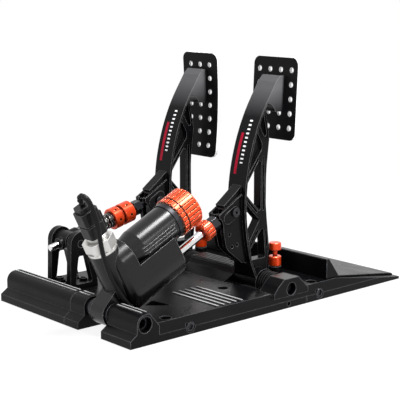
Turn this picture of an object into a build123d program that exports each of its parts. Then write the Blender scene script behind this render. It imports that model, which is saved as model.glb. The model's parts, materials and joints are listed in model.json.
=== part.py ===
from build123d import *
from math import atan2, cos, degrees, hypot, pi, radians, sin, sqrt, tan
import os

os.makedirs("parts", exist_ok=True)

# Frame: +Y is the nose of the car, +X the driver's right, +Z up.
# The origin is the middle of the base's underside. All lengths are millimetres.

# Running gaps and overruns
fit_gap = 0.05          # radial gap of a pin or shaft in its bore
seat_gap = 0.3          # gap between pieces that move past each other
over = 1.0              # cutters run past the faces they open

# Base casting
base_width = 215.0
base_length = 376.6
lip_height = 7.2        # upright rim all round the base
floor_top = 16.0        # height of the deck
deck_thick = 5.0
bevel_run = 7.5         # how far the bevel above the lip runs inwards
block_inset = 2.5       # bored end faces stand this far inside the lip
rim_thick = 11.0        # width of the solid border round the hollow underside
cell_pitch = 31.0       # hollow cells under the deck, between ribs
rib_thick = 5.0
toe_height = 2.7        # thickness of the base at the driver's edge
toe_start_y = -92.0     # the rim falls towards the driver from here

# Front bar: a tube under domed covers, open between them
bar_y = 171.0
bar_z = 19.7
tube_dia = 15.0
tube_wall = 2.5
tube_inset = 6.0        # the tube ends this far inside the bored faces
dome_radius = 9.5       # from the tube's axis to the upright front face
dome_top = 29.4
dome_foot_y = 154.5     # back edge of the covers on the deck
ledge_rise = 5.3        # rise of the ledge above the lip
notch_left_x = -63.4
notch_right_x = -27.3
notch_back_y = 147.0
seam_x = -4.7           # joint between the two covers
seam_gap = 0.3
strip_width = 1.6       # two thin raised strips along the bar
strip_height = 0.9
strip_pitch = 5.0

# Pedal shaft and its two blocks
shaft_y = -20.0
shaft_z = 18.0
shaft_dia = 13.0
shaft_inset = 6.0       # the shaft ends this far inside the blocks
block_length = 21.0
block_foot = 49.0
block_crown = 20.0
block_top = 29.5
well_front = 20.0       # openings in the deck round the hubs, from the shaft
well_rear = 16.5
beam_left_x = -33.7
beam_right_x = 36.0
beam_foot_front = 28.0  # the beam between the hubs, from the shaft
beam_foot_rear = 21.0
beam_knee = 14.0
beam_crown = 11.0
beam_top = 27.6
cover_thick = 1.8
cover_strip_count = 4
cover_strip_pitch = 4.6
cover_strip_width = 2.6
cover_strip_height = 0.6

# Deck details
stripe_count = 5
stripe_pitch = 8.0
stripe_width = 2.6
stripe_height = 0.8
stripe_first_y = 41.5
stripe_left_x = -98.0
stripe_right_x = -30.0
mount_hole_dia = 6.6
mount_bore_dia = 11.0
mount_bore_depth = 4.0
mount_x = 92.0
front_mount_y = 134.5
rear_mount_y = -62.0
access_hole_dia = 11.0
access_hole_reach = 44.0    # in front of the shaft, before each pedal
vent_left = (-66.0, 103.0)
vent_right = (-38.0, 107.0)
vent_tip = (-48.0, 125.0)
side_screw_places = ((117.0, 6.8), (-60.0, 7.2))
side_screw_recess = 10.5
side_screw_depth = 3.0
joint_line_y = -40.0
joint_line_width = 0.8
side_hole_y = -14.0
side_hole_z = 4.2
side_hole_dia = 4.5

# Screws
screw_dia = 5.0
screw_head_dia = 8.6
screw_head_height = 2.6
hex_socket = 3.0
hex_depth = 1.5
pad_screw_length = 11.0
base_screw_length = 10.0

# Heel rest
heel_front_y = -80.0
heel_wall_top = 37.5
heel_wall_thick = 3.5
heel_wall_foot = 19.0   # the wall's sloping back reaches this far behind its face
heel_plate_thick = 2.2
heel_side_gap = 9.5     # bare rim beside the heel plate
heel_groove_count = 6
heel_groove_pitch = 9.0
heel_groove_width = 2.0
heel_groove_depth = 0.8

# Pedal arms: both pedals use the same casting. Outline points are shares of
# the arm's height, measured from the shaft's axis.
arm_height = 213.0
brake_x = -50.5
throttle_x = 67.0
band_width = 25.5
band_thick = 2.4
truss_width = 10.6
web_thick = 4.4
hub_width = 33.0
hub_radius = 13.5
flare_top_share = 0.1
flare_foot_share = 0.02
corner_round_share = 0.01033
band_shares = (
    (0.052, 0.0),
    (0.094, 0.16),
    (0.1203, 0.343),
    (0.1153, 0.489),
    (0.0787, 0.658),
    (0.0273, 0.789),
    (-0.0128, 0.862),
    (-0.04, 0.904),
    (-0.0775, 0.961),
)
head_top_share = (-0.1045, 0.9885)
head_low_shares = ((-0.14, 0.817), (-0.0755, 0.8195))
head_arch_share = (-0.0575, 0.8485)
post_shares = (
    (-0.0376, 0.859),
    (-0.071, 0.685),
    (-0.056, 0.559),
    (-0.0525, 0.5),
    (-0.0525, 0.37),
    (-0.059, 0.305),
    (-0.0765, 0.164),
    (-0.06, 0.02),
)
window_shares = (
    ((0.0968, 0.448), (-0.0187, 0.607), (-0.0187, 0.329)),
    ((0.106, 0.412), (-0.0095, 0.297), (0.083, 0.158), (0.109, 0.28)),
    ((-0.037, 0.267), (-0.052, 0.105), (0.062, 0.105), (0.072, 0.127)),
)
pocket_shares = (
    ((-0.0356, 0.345), (-0.0356, 0.6)),
    ((-0.0625, 0.16), (-0.0545, 0.235)),
    ((0.074, 0.498), (0.0022, 0.594)),
    ((0.0674, 0.4), (0.009, 0.34)),
    ((0.058, 0.165), (-0.002, 0.246)),
)
pocket_width = 2.2
panel_shares = (
    (
        (0.095, 0.49),
        (-0.0225, 0.6414),
        (-0.022, 0.6704),
        (0.0265, 0.755),
        (0.0445, 0.71),
        (0.072, 0.626),
    ),
    ((0.012, 0.785), (-0.0435, 0.69), (-0.0535, 0.713), (-0.03, 0.82), (-0.006, 0.82)),
)

# Clevis on the front of each arm
clevis_width = 16.5
cheek_thick = 4.8
pin_dia = 6.0
pin_head_dia = 9.0
pin_head_height = 2.2
pin_nut_height = 3.6
eye_gap = 0.6           # the open pivot: room for the pin to wander in its eye
clevis_shares = (
    (0.118, 0.4415),
    (0.264, 0.358),
    (0.262, 0.341),
    (0.248, 0.33),
    (0.239, 0.305),
    (0.2345, 0.256),
    (0.2205, 0.196),
    (0.2, 0.172),
    (0.12, 0.108),
    (0.085, 0.1),
)
ramp_shares = ((0.1, 0.47), (0.113, 0.482), (0.229, 0.396), (0.216, 0.37), (0.12, 0.37))
ramp_width = 12.6       # the ridge between the cheeks, up to the band
dish_shares = ((0.22, 0.352), (0.255, 0.352), (0.262, 0.4), (0.232, 0.42))
slot_shares = (
    (0.13, 0.0),
    (0.13, 0.398),
    (0.205, 0.398),
    (0.228, 0.37),
)
mouth_share = (0.3, 0.4)  # the rod's slot is open above where it leaves the clevis
boss_shares = ((0.212, 0.3355), (0.168, 0.36))
boss_radius = 5.9
boss_height = 0.9
plate_hole_shares = ((0.2, 0.256), (0.151, 0.2), (0.184, 0.195))
plate_hole_dia = 3.4
brake_pin = (15.8, 94.6)
throttle_pin = (17.5, 90.5)

# Pads
pad_thick = 3.2
pad_hole_dia = 5.5
pad_column_pitch = 15.2
pad_row_pitch = 14.7
pad_corner = 8.0
pad_side_margin = 8.6
pad_end_margin = 12.6
pad_face_y = -47.0      # the pads' nose side, at their middle
brake_columns = 4
brake_rows = 5
brake_pad_z = 205.0
brake_pad_tilt = 2.8
brake_pad_bow = 0         # flat
throttle_columns = 3
throttle_rows = 7
throttle_pad_z = 189.4
throttle_pad_tilt = 1.0
throttle_pad_bow = 3.0

# Bushes and dust sleeves on the shaft
bush_wall = 2.0
bush_length = 11.0
sleeve_radius = 12.4
sleeve_valley = 10.2
sleeve_rings = 5

# Brake cylinder. Stations run from the clevis pin towards the nose,
# offsets stand square to the rod, upwards.
barrel_offset = 35.8
barrel_radius = 18.0
barrel_bore = 13.5
barrel_start = 71.0
barrel_end = 131.0
barrel_nose = 14.0      # length of the tapered nose
barrel_nose_drop = 3.0
flute_count = 3
flute_pitch = 11.0      # degrees between flutes
flute_first = 14.0      # degrees above the side
flute_radius = 0.9
knob_radius = 20.4
knob_start = 43.8
knob_end = 69.5
knob_ribs = 28
knob_rib_depth = 1.2
knob_rib_gap = 1.1
knob_ring_station = 61.5
knob_ring_width = 1.6
knob_edge = 1.4
knob_dish_radius = 13.0
knob_dish_depth = 4.0
ring_radius = 18.9
ring_start = 69.8
ring_length = 4.4
body_start = 85.8
body_end = 154.0
body_radius = 24.0
body_offset = 8.8
body_side = 1.6         # the body's sides stand this far outside the barrel
body_drop = 6.0         # the body's edge ends this far below the barrel's axis
shoulder_station = 131.6
front_round = 9.0
body_bore = 12.0
body_bore_end = 141.0
rod_dia = 8.4
piston_start = 118.0
piston_length = 12.0
seal_length = 6.0
lug_half = 10.0
lug_radius = 12.5
lug_root = 146.0
knob2_radius = 10.2
knob2_start = 29.8
knob2_end = 40.8
knob2_ribs = 16
nut_across = 14.0
nut_start = 20.5
nut_length = 8.0
shank_dia = 6.0
shank_end = 44.0
eye_radius = 6.8
eye_width = 6.0
disc_count = 3
disc_length = 12.0
disc_gap = 0.6
disc_start = 82.0
screw_post_dia = 8.0

# Pressure sensor and its plug, standing square to the rod
sensor_station = 150.0
sensor_boss_radius = 14.6
sensor_boss_top = 55.5
sensor_flange_radius = 14.4
sensor_flange_height = 2.6
sensor_across = 26.6
sensor_hex_height = 11.0
sensor_neck_radius = 9.5
sensor_neck_height = 4.0
sensor_stem_dia = 10.0
sensor_stem_length = 8.0
plug_width = 17.0
plug_depth = 19.0
plug_length = 27.0
plug_waist = 1.6
latch_width = 8.0
latch_thick = 3.2
latch_length = 18.0
plug_cap_length = 5.0
boot_radius = 7.0       # the cable's tight arch over the plug
boot_tube = 3.1
boot_stub = 4.0

# Throttle strut, stations from its own clevis pin
strut_nut_start = 22.0
trunnion_y = 132.0
trunnion_z = 62.3
trunnion_radius = 9.5
trunnion_half = 9.5
trunnion_pin_dia = 8.0
guide_radius = 6.5
guide_length = 11.5     # sleeve on the nose side of the trunnion
strut_dia = 7.0
strut_tail = 23.0       # the rod stands out this far past the trunnion
collar_radius = 11.6
collar_start = 34.6
collar_end = 61.0
collar_groove = 3.2
collar_core = 9.0
collar_hole_dia = 2.8
collar_hole_count = 6
thread_dia = 11.0       # threaded sleeve that carries the collars
spring_radius = 7.3     # centre line of the wire
wire_dia = 1.8
spring_turns = 11
seat_radius = 9.2
seat_thick = 3.0
bracket_left_x = 47.0
bracket_right_x = 81.0
bracket_thick = 7.0
bracket_head = 12.5
bracket_foot_front = 14.0   # from the trunnion towards the nose
bracket_foot_rear = 20.0
bracket_foot_height = 5.0
bracket_foot_extra = 9.0
bracket_leg = 6.5
bolt_dia = 5.0

# Stop adjusters behind each hub
stop_reach = 27.4       # behind the shaft
stop_side = 3.5         # beside the arm's middle plane
stop_boss_dia = 13.5
stop_boss_top = 28.3
stop_stud_dia = 5.0
stop_lock_radius = 6.5
stop_lock_height = 10.4
stop_head_start = 46.0
stop_head_end = 53.4

# Sensor cable: its route is given in millimetres, from plug to grommet
cable_dia = 4.4
grommet_dia = 9.0
grommet_sink = 5.0      # length of the grommet below the cable's end
cable_route = (
    (-64.5, 196.55, 124.01),
    (-64.5, 191.35, 113.25),
    (-66.5, 190.0, 96.0),
    (-67.0, 187.6, 82.0),
    (-67.0, 183.5, 68.5),
    (-67.0, 177.2, 53.5),
    (-66.6, 168.0, 39.5),
    (-66.3, 158.2, 27.8),
    (-66.5, 150.5, 18.7),
)

knee_share = 0.45       # how far down the beam's front face its knee lies
edge_share = 0.12       # small edge breaks, as shares of the piece they are on
ring_rise_share = 0.1
ring_peak_share = 0.3
block_knee = 18.0
collar_ring_wall = 3.2
collar_ring_length = 5.0
heel_wall_foot_drop = 0.9
plug_step_share = 0.45
cable_arc_share = 0.45

# Sizes worked out from those above
front_y = base_length / 2
corner_round = corner_round_share * arm_height
rear_y = -base_length / 2
side_x = base_width / 2
deck_x = side_x - bevel_run
block_x = side_x - block_inset
bar_face_y = bar_y + dome_radius
bar_slope = (floor_top - toe_height) / (toe_start_y - rear_y)
screw_seat = screw_dia + fit_gap * 2
mount_places = [
    (side * mount_x, y) for y in (front_mount_y, rear_mount_y) for side in (-1, 1)
]
bracket_bolt_places = []
bracket_reach = (bracket_thick + bracket_foot_extra) / 2
for x in (bracket_left_x + bracket_reach, bracket_right_x - bracket_reach):
    for reach in (bracket_foot_front / 2, -bracket_foot_rear / 2):
        bracket_bolt_places.append((x, trunnion_y + reach))


def save(part, name):
    """Label a finished piece and write it as its own file."""
    part.label = name
    export_step(part, "parts/" + name + ".step")


def arm_point(share):
    """Outline point of an arm from its shares of the arm's height."""
    return (shaft_y + share[0] * arm_height, shaft_z + share[1] * arm_height)


class Strut:
    """Frame of a strut that runs from a clevis pin down towards the nose."""

    def __init__(self, x, pin, anchor):
        self.x = x
        self.pin = pin
        self.slope = atan2(pin[1] - anchor[1], anchor[0] - pin[0])
        self.length = hypot(pin[1] - anchor[1], anchor[0] - pin[0])

    def point(self, station, offset=0.0, side=0.0):
        """Point so far from the pin, so far square to the strut, so far to the right."""
        c = cos(self.slope)
        s = sin(self.slope)
        return Vector(
            self.x + side,
            self.pin[0] + station * c + offset * s,
            self.pin[1] - station * s + offset * c,
        )

    def along(self, station, offset=0.0, side=0.0):
        """Plane square to the strut that faces the nose, with its Y side up."""
        c = cos(self.slope)
        s = sin(self.slope)
        return Plane(
            origin=self.point(station, offset, side), x_dir=(-1, 0, 0), z_dir=(0, c, -s)
        )

    def upright(self, station, offset, side=0.0):
        """Plane square to the offset direction, with its Y side towards the nose."""
        c = cos(self.slope)
        s = sin(self.slope)
        return Plane(
            origin=self.point(station, offset, side), x_dir=(1, 0, 0), z_dir=(0, s, c)
        )

    def flank(self, side=0.0):
        """Plane of the strut itself: X towards the nose, Y up, seen from the left."""
        c = cos(self.slope)
        s = sin(self.slope)
        return Plane(
            origin=self.point(0, 0, side), x_dir=(0, c, -s), z_dir=(1, 0, 0)
        )


brake_line = Strut(brake_x, brake_pin, (bar_y, bar_z))
throttle_line = Strut(throttle_x, throttle_pin, (trunnion_y, trunnion_z))


def run_length(path):
    """Length of a line made of several edges."""
    return sum(edge.length for edge in path.edges())


def side_plane(x):
    """Upright plane across the object: X towards the nose, Y up, facing right."""
    return Plane(origin=(x, 0, 0), x_dir=(0, 1, 0), z_dir=(1, 0, 0))


def bar_profile(gap, crown):
    """Closed outline of the front bar's covers, as seen from the side."""
    with BuildLine() as outline:
        base = Polyline(
            (dome_foot_y + gap, 0),
            (dome_foot_y + gap, floor_top),
            (bar_y - dome_radius / 2, crown),
            (bar_y, crown),
        )
        crest = ThreePointArc(
            base @ 1,
            (bar_y + dome_radius * sin(pi / 4), bar_z + (crown - bar_z) * sin(pi / 4)),
            (bar_face_y, bar_z),
        )
        Polyline(
            crest @ 1,
            (bar_face_y, lip_height + ledge_rise),
            (front_y, lip_height),
            (front_y, 0),
            (dome_foot_y + gap, 0),
        )
    return outline.line


def saddle_profile(foot_front, foot_rear, knee, crown, top):
    """Closed outline of a block that carries the shaft, as seen from the side."""
    with BuildLine() as outline:
        Polyline(
            (shaft_y - foot_rear, floor_top - deck_thick),
            (shaft_y - foot_rear, floor_top),
            (shaft_y - crown, top),
            (shaft_y + crown, top),
            (shaft_y + knee, top - (top - floor_top) * knee_share),
            (shaft_y + foot_front, floor_top),
            (shaft_y + foot_front, floor_top - deck_thick),
            close=True,
        )
    return outline.line


# The cable's last run and the face it ends on
cable_tip = Vector(*cable_route[-1])
cable_end = Plane(origin=cable_tip, x_dir=(1, 0, 0), z_dir=cable_tip - Vector(*cable_route[-2]))

# Base casting
cells_x = int((base_width - rim_thick * 2) // cell_pitch)
cells_y = int((dome_foot_y - toe_start_y - rim_thick * 2) // cell_pitch)
cell_size = cell_pitch - rib_thick
well_left_x = -block_x + block_length
well_y = shaft_y + (well_front - well_rear) / 2
well_length = well_front + well_rear
stripe_middle_x = (stripe_left_x + stripe_right_x) / 2
stripe_middle_y = stripe_first_y + stripe_pitch * (stripe_count - 1) / 2
with BuildPart() as base_plate:
    # bevelled tray
    with BuildSketch(Plane.XZ.offset(-front_y)):
        with BuildLine():
            Polyline(
                (-side_x, 0),
                (-side_x, lip_height),
                (-deck_x, floor_top),
                (deck_x, floor_top),
                (side_x, lip_height),
                (side_x, 0),
                close=True,
            )
        make_face()
    extrude(amount=base_length)
    # the rim falls to a thin edge under the driver's heels
    with BuildSketch(side_plane(-side_x - over)):
        with BuildLine():
            Polyline(
                (toe_start_y, floor_top),
                (rear_y - over, toe_height - over * bar_slope),
                (rear_y - over, floor_top + over),
                (toe_start_y, floor_top + over),
                close=True,
            )
        make_face()
    extrude(amount=base_width + over * 2, mode=Mode.SUBTRACT)
    # room for the front bar
    with BuildSketch(Plane.XY.offset(-over)):
        with Locations((0, (dome_foot_y + front_y + over) / 2)):
            Rectangle(base_width + over * 2, front_y + over - dome_foot_y)
        with Locations(((notch_left_x + notch_right_x) / 2, (notch_back_y + front_y) / 2)):
            Rectangle(notch_right_x - notch_left_x, front_y - notch_back_y)
    extrude(amount=floor_top + over * 2, mode=Mode.SUBTRACT)
    # the brake side end of the bar is part of the casting
    with BuildSketch(side_plane(-side_x)):
        add(bar_profile(0, dome_top))
        make_face()
    extrude(amount=notch_left_x + side_x)
    for k in range(2):
        y = bar_y - dome_radius / 4 + (k * 2 - 1) * strip_pitch / 2
        with BuildSketch(Plane.XY.offset(dome_top - strip_height)):
            with Locations(((notch_left_x - block_x) / 2, y)):
                Rectangle(notch_left_x + block_x - strip_pitch, strip_width)
        extrude(amount=strip_height * 2)
    # shaft blocks
    for x in (-block_x, block_x - block_length):
        with BuildSketch(side_plane(x)):
            add(saddle_profile(block_foot / 2, block_foot / 2, block_knee, block_crown / 2, block_top))
            make_face()
        extrude(amount=block_length)
    # beam between the hubs
    with BuildSketch(side_plane(beam_left_x)):
        add(saddle_profile(beam_foot_front, beam_foot_rear, beam_knee, beam_crown, beam_top))
        make_face()
    extrude(amount=beam_right_x - beam_left_x)
    # hollow cells under the deck
    with BuildSketch(Plane.XY.offset(-over)):
        with Locations((0, (dome_foot_y + toe_start_y) / 2)):
            with GridLocations(cell_pitch, cell_pitch, cells_x, cells_y):
                RectangleRounded(cell_size, cell_size, rib_thick / 2)
    extrude(amount=floor_top - deck_thick + over, mode=Mode.SUBTRACT)
    # the shaft's webs stay solid under the blocks and the beam
    with BuildSketch(Plane.XY):
        with Locations((0, shaft_y)):
            Rectangle(block_x * 2 - block_inset, block_foot)
    extrude(amount=floor_top - deck_thick)
    # openings round the hubs
    for x0, x1 in ((well_left_x, beam_left_x), (beam_right_x, -well_left_x)):
        with BuildSketch(Plane.XY.offset(-over)):
            with Locations(((x0 + x1) / 2, well_y)):
                Rectangle(x1 - x0, well_length)
        extrude(amount=block_top + over * 2, mode=Mode.SUBTRACT)
    # bores for the shaft and the bar's tube
    with BuildSketch(side_plane(-side_x - over)):
        with Locations((shaft_y, shaft_z)):
            Circle(shaft_dia / 2 + fit_gap)
    extrude(amount=base_width + over * 2, mode=Mode.SUBTRACT)
    with BuildSketch(side_plane(-side_x - over)):
        with Locations((bar_y, bar_z)):
            Circle(tube_dia / 2 + fit_gap)
    extrude(amount=notch_left_x + side_x + over * 2, mode=Mode.SUBTRACT)
    # bosses and counterbored holes for bolting the set to a rig
    with BuildSketch(Plane.XY):
        with Locations(*mount_places):
            Circle(mount_bore_dia / 2 + rib_thick)
    extrude(amount=floor_top - deck_thick)
    with Locations(*[Location((px, py, floor_top)) for px, py in mount_places]):
        CounterBoreHole(mount_hole_dia / 2, mount_bore_dia / 2, mount_bore_depth)
    with BuildSketch(Plane.XY.offset(-over)):
        with Locations(*[(px, shaft_y + access_hole_reach) for px in (brake_x, throttle_x)]):
            Circle(access_hole_dia / 2)
    extrude(amount=floor_top + over * 2, mode=Mode.SUBTRACT)
    # three-cornered vent beside the brake cylinder
    with BuildSketch(Plane.XY.offset(-over)):
        with BuildLine():
            FilletPolyline(vent_left, vent_right, vent_tip, radius=rib_thick / 2, close=True)
        make_face()
    extrude(amount=floor_top + over * 2, mode=Mode.SUBTRACT)
    # raised stripes across the deck
    with BuildSketch(Plane.XY.offset(floor_top - stripe_height)):
        with Locations((stripe_middle_x, stripe_middle_y)):
            with GridLocations(0, stripe_pitch, 1, stripe_count):
                SlotOverall(stripe_right_x - stripe_left_x, stripe_width)
    extrude(amount=stripe_height * 2)
    # recesses and holes in both sides
    for side in (-1, 1):
        face = Plane(origin=(side * side_x, 0, 0), x_dir=(0, -side, 0), z_dir=(-side, 0, 0))
        for y, z in side_screw_places:
            with BuildSketch(face.offset(-over)):
                with Locations((-side * y, z)):
                    Circle(side_screw_recess / 2)
            extrude(amount=side_screw_depth + over, mode=Mode.SUBTRACT)
            with BuildSketch(face.offset(-over)):
                with Locations((-side * y, z)):
                    Circle(screw_seat / 2)
            extrude(amount=base_screw_length + over, mode=Mode.SUBTRACT)
        with BuildSketch(face.offset(-over)):
            with Locations((-side * side_hole_y, side_hole_z)):
                Circle(side_hole_dia / 2)
        extrude(amount=side_screw_depth + over, mode=Mode.SUBTRACT)
        with BuildSketch(face.offset(-over)):
            with Locations((-side * joint_line_y, lip_height / 2)):
                Rectangle(joint_line_width, lip_height)
        extrude(amount=joint_line_width + over, mode=Mode.SUBTRACT)
    # seats for the stop adjusters, the strut's bracket and the cable
    with BuildSketch(Plane.XY.offset(floor_top - over)):
        for x in (brake_x - stop_side, throttle_x - stop_side):
            with Locations((x, shaft_y - stop_reach)):
                Circle(stop_boss_dia / 2)
    extrude(amount=stop_boss_top - floor_top + over)
    with BuildSketch(Plane.XY.offset(stop_boss_top + over)):
        for x in (brake_x - stop_side, throttle_x - stop_side):
            with Locations((x, shaft_y - stop_reach)):
                Circle(stop_stud_dia / 2 + fit_gap)
    extrude(amount=-stop_boss_top + lip_height - over, mode=Mode.SUBTRACT)
    with BuildSketch(Plane.XY.offset(floor_top + over)):
        with Locations(*bracket_bolt_places):
            Circle(bolt_dia / 2 + fit_gap)
    extrude(amount=-floor_top + lip_height, mode=Mode.SUBTRACT)
    with BuildSketch(cable_end):
        Circle(grommet_dia / 2 + fit_gap)
    extrude(amount=grommet_sink + fit_gap, mode=Mode.SUBTRACT)
save(base_plate.part, "base_plate")

# Covers over the throttle side of the bar
for name, x0, x1 in (
    ("centre_bar_cover", notch_right_x, seam_x),
    ("throttle_bar_cover", seam_x + seam_gap, side_x),
):
    with BuildPart() as cover:
        with BuildSketch(side_plane(x0)):
            add(bar_profile(fit_gap, dome_top))
            make_face()
        extrude(amount=x1 - x0)
        with BuildSketch(Plane.XY.offset(dome_top - strip_height)):
            for k in range(2):
                with Locations(((x0 + x1) / 2, bar_y - dome_radius / 4 + (k * 2 - 1) * strip_pitch / 2)):
                    Rectangle(x1 - x0 - strip_pitch, strip_width)
        extrude(amount=strip_height * 2)
        with BuildSketch(side_plane(x0 - over)):
            with Locations((bar_y, bar_z)):
                Circle(tube_dia / 2 + fit_gap)
        extrude(amount=x1 - x0 + over * 2, mode=Mode.SUBTRACT)
    save(cover.part, name)

with BuildPart() as front_tube:
    with BuildSketch(side_plane(-side_x + tube_inset)):
        with Locations((bar_y, bar_z)):
            Circle(tube_dia / 2)
            Circle(tube_dia / 2 - tube_wall, mode=Mode.SUBTRACT)
    extrude(amount=base_width - tube_inset * 2)
save(front_tube.part, "front_tube")

# Collars that keep the cylinder in place on the tube
with BuildPart() as tube_collars:
    for x0, x1 in (
        (notch_left_x + seat_gap, brake_x - lug_half - seat_gap),
        (brake_x + lug_half + seat_gap, brake_x + lug_half + seat_gap + collar_ring_length),
    ):
        with BuildSketch(side_plane(x0)):
            with Locations((bar_y, bar_z)):
                Circle(tube_dia / 2 + collar_ring_wall)
                Circle(tube_dia / 2 + fit_gap, mode=Mode.SUBTRACT)
        extrude(amount=x1 - x0)
save(tube_collars.part, "tube_collars")

# Shaft that both pedals swing on
with BuildPart() as pedal_shaft:
    with BuildSketch(side_plane(-block_x + shaft_inset)):
        with Locations((shaft_y, shaft_z)):
            Circle(shaft_dia / 2)
    extrude(amount=(block_x - shaft_inset) * 2)
    chamfer(pedal_shaft.faces().filter_by(Axis.X).edges(), shaft_dia * edge_share)
save(pedal_shaft.part, "pedal_shaft")

# Dust sleeves, ribbed round the shaft
for name, x0, x1 in (
    ("left_dust_sleeve", well_left_x + seat_gap, brake_x - hub_width / 2 - seat_gap),
    ("inner_dust_sleeve", beam_right_x + seat_gap, throttle_x - hub_width / 2 - seat_gap),
):
    ring = (x1 - x0) / sleeve_rings
    with BuildPart() as sleeve:
        with BuildSketch(Plane(origin=(x0, shaft_y, shaft_z), x_dir=(1, 0, 0), z_dir=(0, -1, 0))):
            with BuildLine():
                points = [(0, shaft_dia / 2 + fit_gap), (0, sleeve_valley)]
                for k in range(sleeve_rings):
                    points.append((ring * (k + ring_rise_share), sleeve_valley))
                    points.append((ring * (k + ring_peak_share), sleeve_radius))
                    points.append((ring * (k + 1 - ring_peak_share), sleeve_radius))
                    points.append((ring * (k + 1 - ring_rise_share), sleeve_valley))
                points.append((x1 - x0, sleeve_valley))
                points.append((x1 - x0, shaft_dia / 2 + fit_gap))
                Polyline(*points, close=True)
            make_face()
        revolve(axis=Axis((0, shaft_y, shaft_z), (1, 0, 0)))
    save(sleeve.part, name)

# Textured cover on the beam
with BuildPart() as beam_cover:
    with BuildSketch(Plane.XY.offset(beam_top)):
        with Locations(((beam_left_x + beam_right_x) / 2, shaft_y)):
            Rectangle(beam_right_x - beam_left_x, beam_crown * 2)
    extrude(amount=cover_thick)
    chamfer(beam_cover.edges().filter_by(Axis.X).group_by(Axis.Z)[-1], cover_thick / 2)
    with BuildSketch(Plane.XY.offset(beam_top + cover_thick)):
        with Locations(((beam_left_x + beam_right_x) / 2, shaft_y)):
            with GridLocations(0, cover_strip_pitch, 1, cover_strip_count):
                Rectangle(beam_right_x - beam_left_x - cover_strip_pitch, cover_strip_width)
    extrude(amount=cover_strip_height)
save(beam_cover.part, "beam_cover")

# Heel rest: an upright wall and the plate behind it, one bent piece
plate_rise = heel_plate_thick
with BuildPart() as heel_rest:
    with BuildSketch(side_plane(-side_x + heel_side_gap)):
        with BuildLine():
            Polyline(
                (heel_front_y, floor_top),
                (heel_front_y, heel_wall_top),
                (heel_front_y - heel_wall_thick, heel_wall_top),
                (heel_front_y - heel_wall_foot, floor_top + plate_rise - heel_wall_foot_drop),
                (rear_y + toe_height, toe_height + toe_height * bar_slope + plate_rise),
                (rear_y, toe_height + plate_rise / 2),
                (rear_y, toe_height),
                (toe_start_y, floor_top),
                close=True,
            )
        make_face()
    extrude(amount=(side_x - heel_side_gap) * 2)
    fillet(heel_rest.edges().filter_by(Axis.X).group_by(Axis.Z)[-1], heel_wall_thick * edge_share * 2)
    plate_angle = atan2(floor_top - toe_height, toe_start_y - rear_y)
    plate_face = Plane(
        origin=(0, rear_y, toe_height + plate_rise),
        x_dir=(1, 0, 0),
        z_dir=(0, -sin(plate_angle), cos(plate_angle)),
    )
    groove_middle = (toe_start_y - rear_y) / 2
    with BuildSketch(plate_face):
        with Locations((0, groove_middle)):
            with GridLocations(0, heel_groove_pitch, 1, heel_groove_count):
                SlotOverall(side_x - heel_side_gap, heel_groove_width)
    extrude(amount=-heel_groove_depth, mode=Mode.SUBTRACT)
save(heel_rest.part, "heel_rest")

# Socket screws in the base's sides
with BuildPart() as side_screws:
    for side in (-1, 1):
        for y, z in side_screw_places:
            seat = Plane(
                origin=(side * (side_x - side_screw_depth), y, z),
                x_dir=(0, side, 0),
                z_dir=(side, 0, 0),
            )
            with BuildSketch(seat):
                Circle(screw_head_dia / 2)
            extrude(amount=screw_head_height)
            with BuildSketch(seat):
                Circle(screw_dia / 2)
            extrude(amount=-(base_screw_length - side_screw_depth - seat_gap))
            with BuildSketch(seat.offset(screw_head_height)):
                RegularPolygon(hex_socket, 6, major_radius=False)
            extrude(amount=-hex_depth, mode=Mode.SUBTRACT)
save(side_screws.part, "side_screws")


def pad_plane(x, z, tilt):
    """Plane of a pad's nose side: X to the right, Y up the pad, facing the driver."""
    a = radians(tilt)
    return Plane(origin=(x, pad_face_y, z), x_dir=(1, 0, 0), z_dir=(0, -cos(a), -sin(a)))


def pad_flank(x, z, tilt, side):
    """Side plane of a pad: X towards the driver, Y up the pad."""
    a = radians(tilt)
    return Plane(
        origin=(x + side, pad_face_y, z), x_dir=(0, -cos(a), -sin(a)), z_dir=(-1, 0, 0)
    )


def bow_arc(reach, bow, depth):
    """Line up a pad: its middle stands bow nearer the driver than its ends."""
    if bow == 0:
        return Line((depth, -reach), (depth, reach))
    return ThreePointArc((depth - bow, -reach), (depth, 0), (depth - bow, reach))


class Pedal:
    """Sizes of one pedal, left free to differ from its neighbour."""

    def __init__(self, name, x, line, columns, rows, pad_z, tilt, bow):
        self.name = name
        self.x = x
        self.line = line
        self.columns = columns
        self.rows = rows
        self.pad_z = pad_z
        self.tilt = tilt
        self.bow = bow
        self.width = (columns - 1) * pad_column_pitch + pad_side_margin * 2
        self.height = (rows - 1) * pad_row_pitch + pad_end_margin * 2

    def screw_places(self):
        """Pad holes that lie over the arm's head, as places on the pad."""
        low = shaft_z + head_low_shares[0][1] * arm_height + screw_head_dia / 2
        high = shaft_z + head_top_share[1] * arm_height - screw_head_dia / 2
        places = []
        for column in range(self.columns):
            px = (column - (self.columns - 1) / 2) * pad_column_pitch
            for row in range(self.rows):
                pz = (row - (self.rows - 1) / 2) * pad_row_pitch
                if abs(px) < band_width / 2 - screw_dia / 2 and low < self.pad_z + pz < high:
                    places.append((px, pz))
        return places


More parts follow.
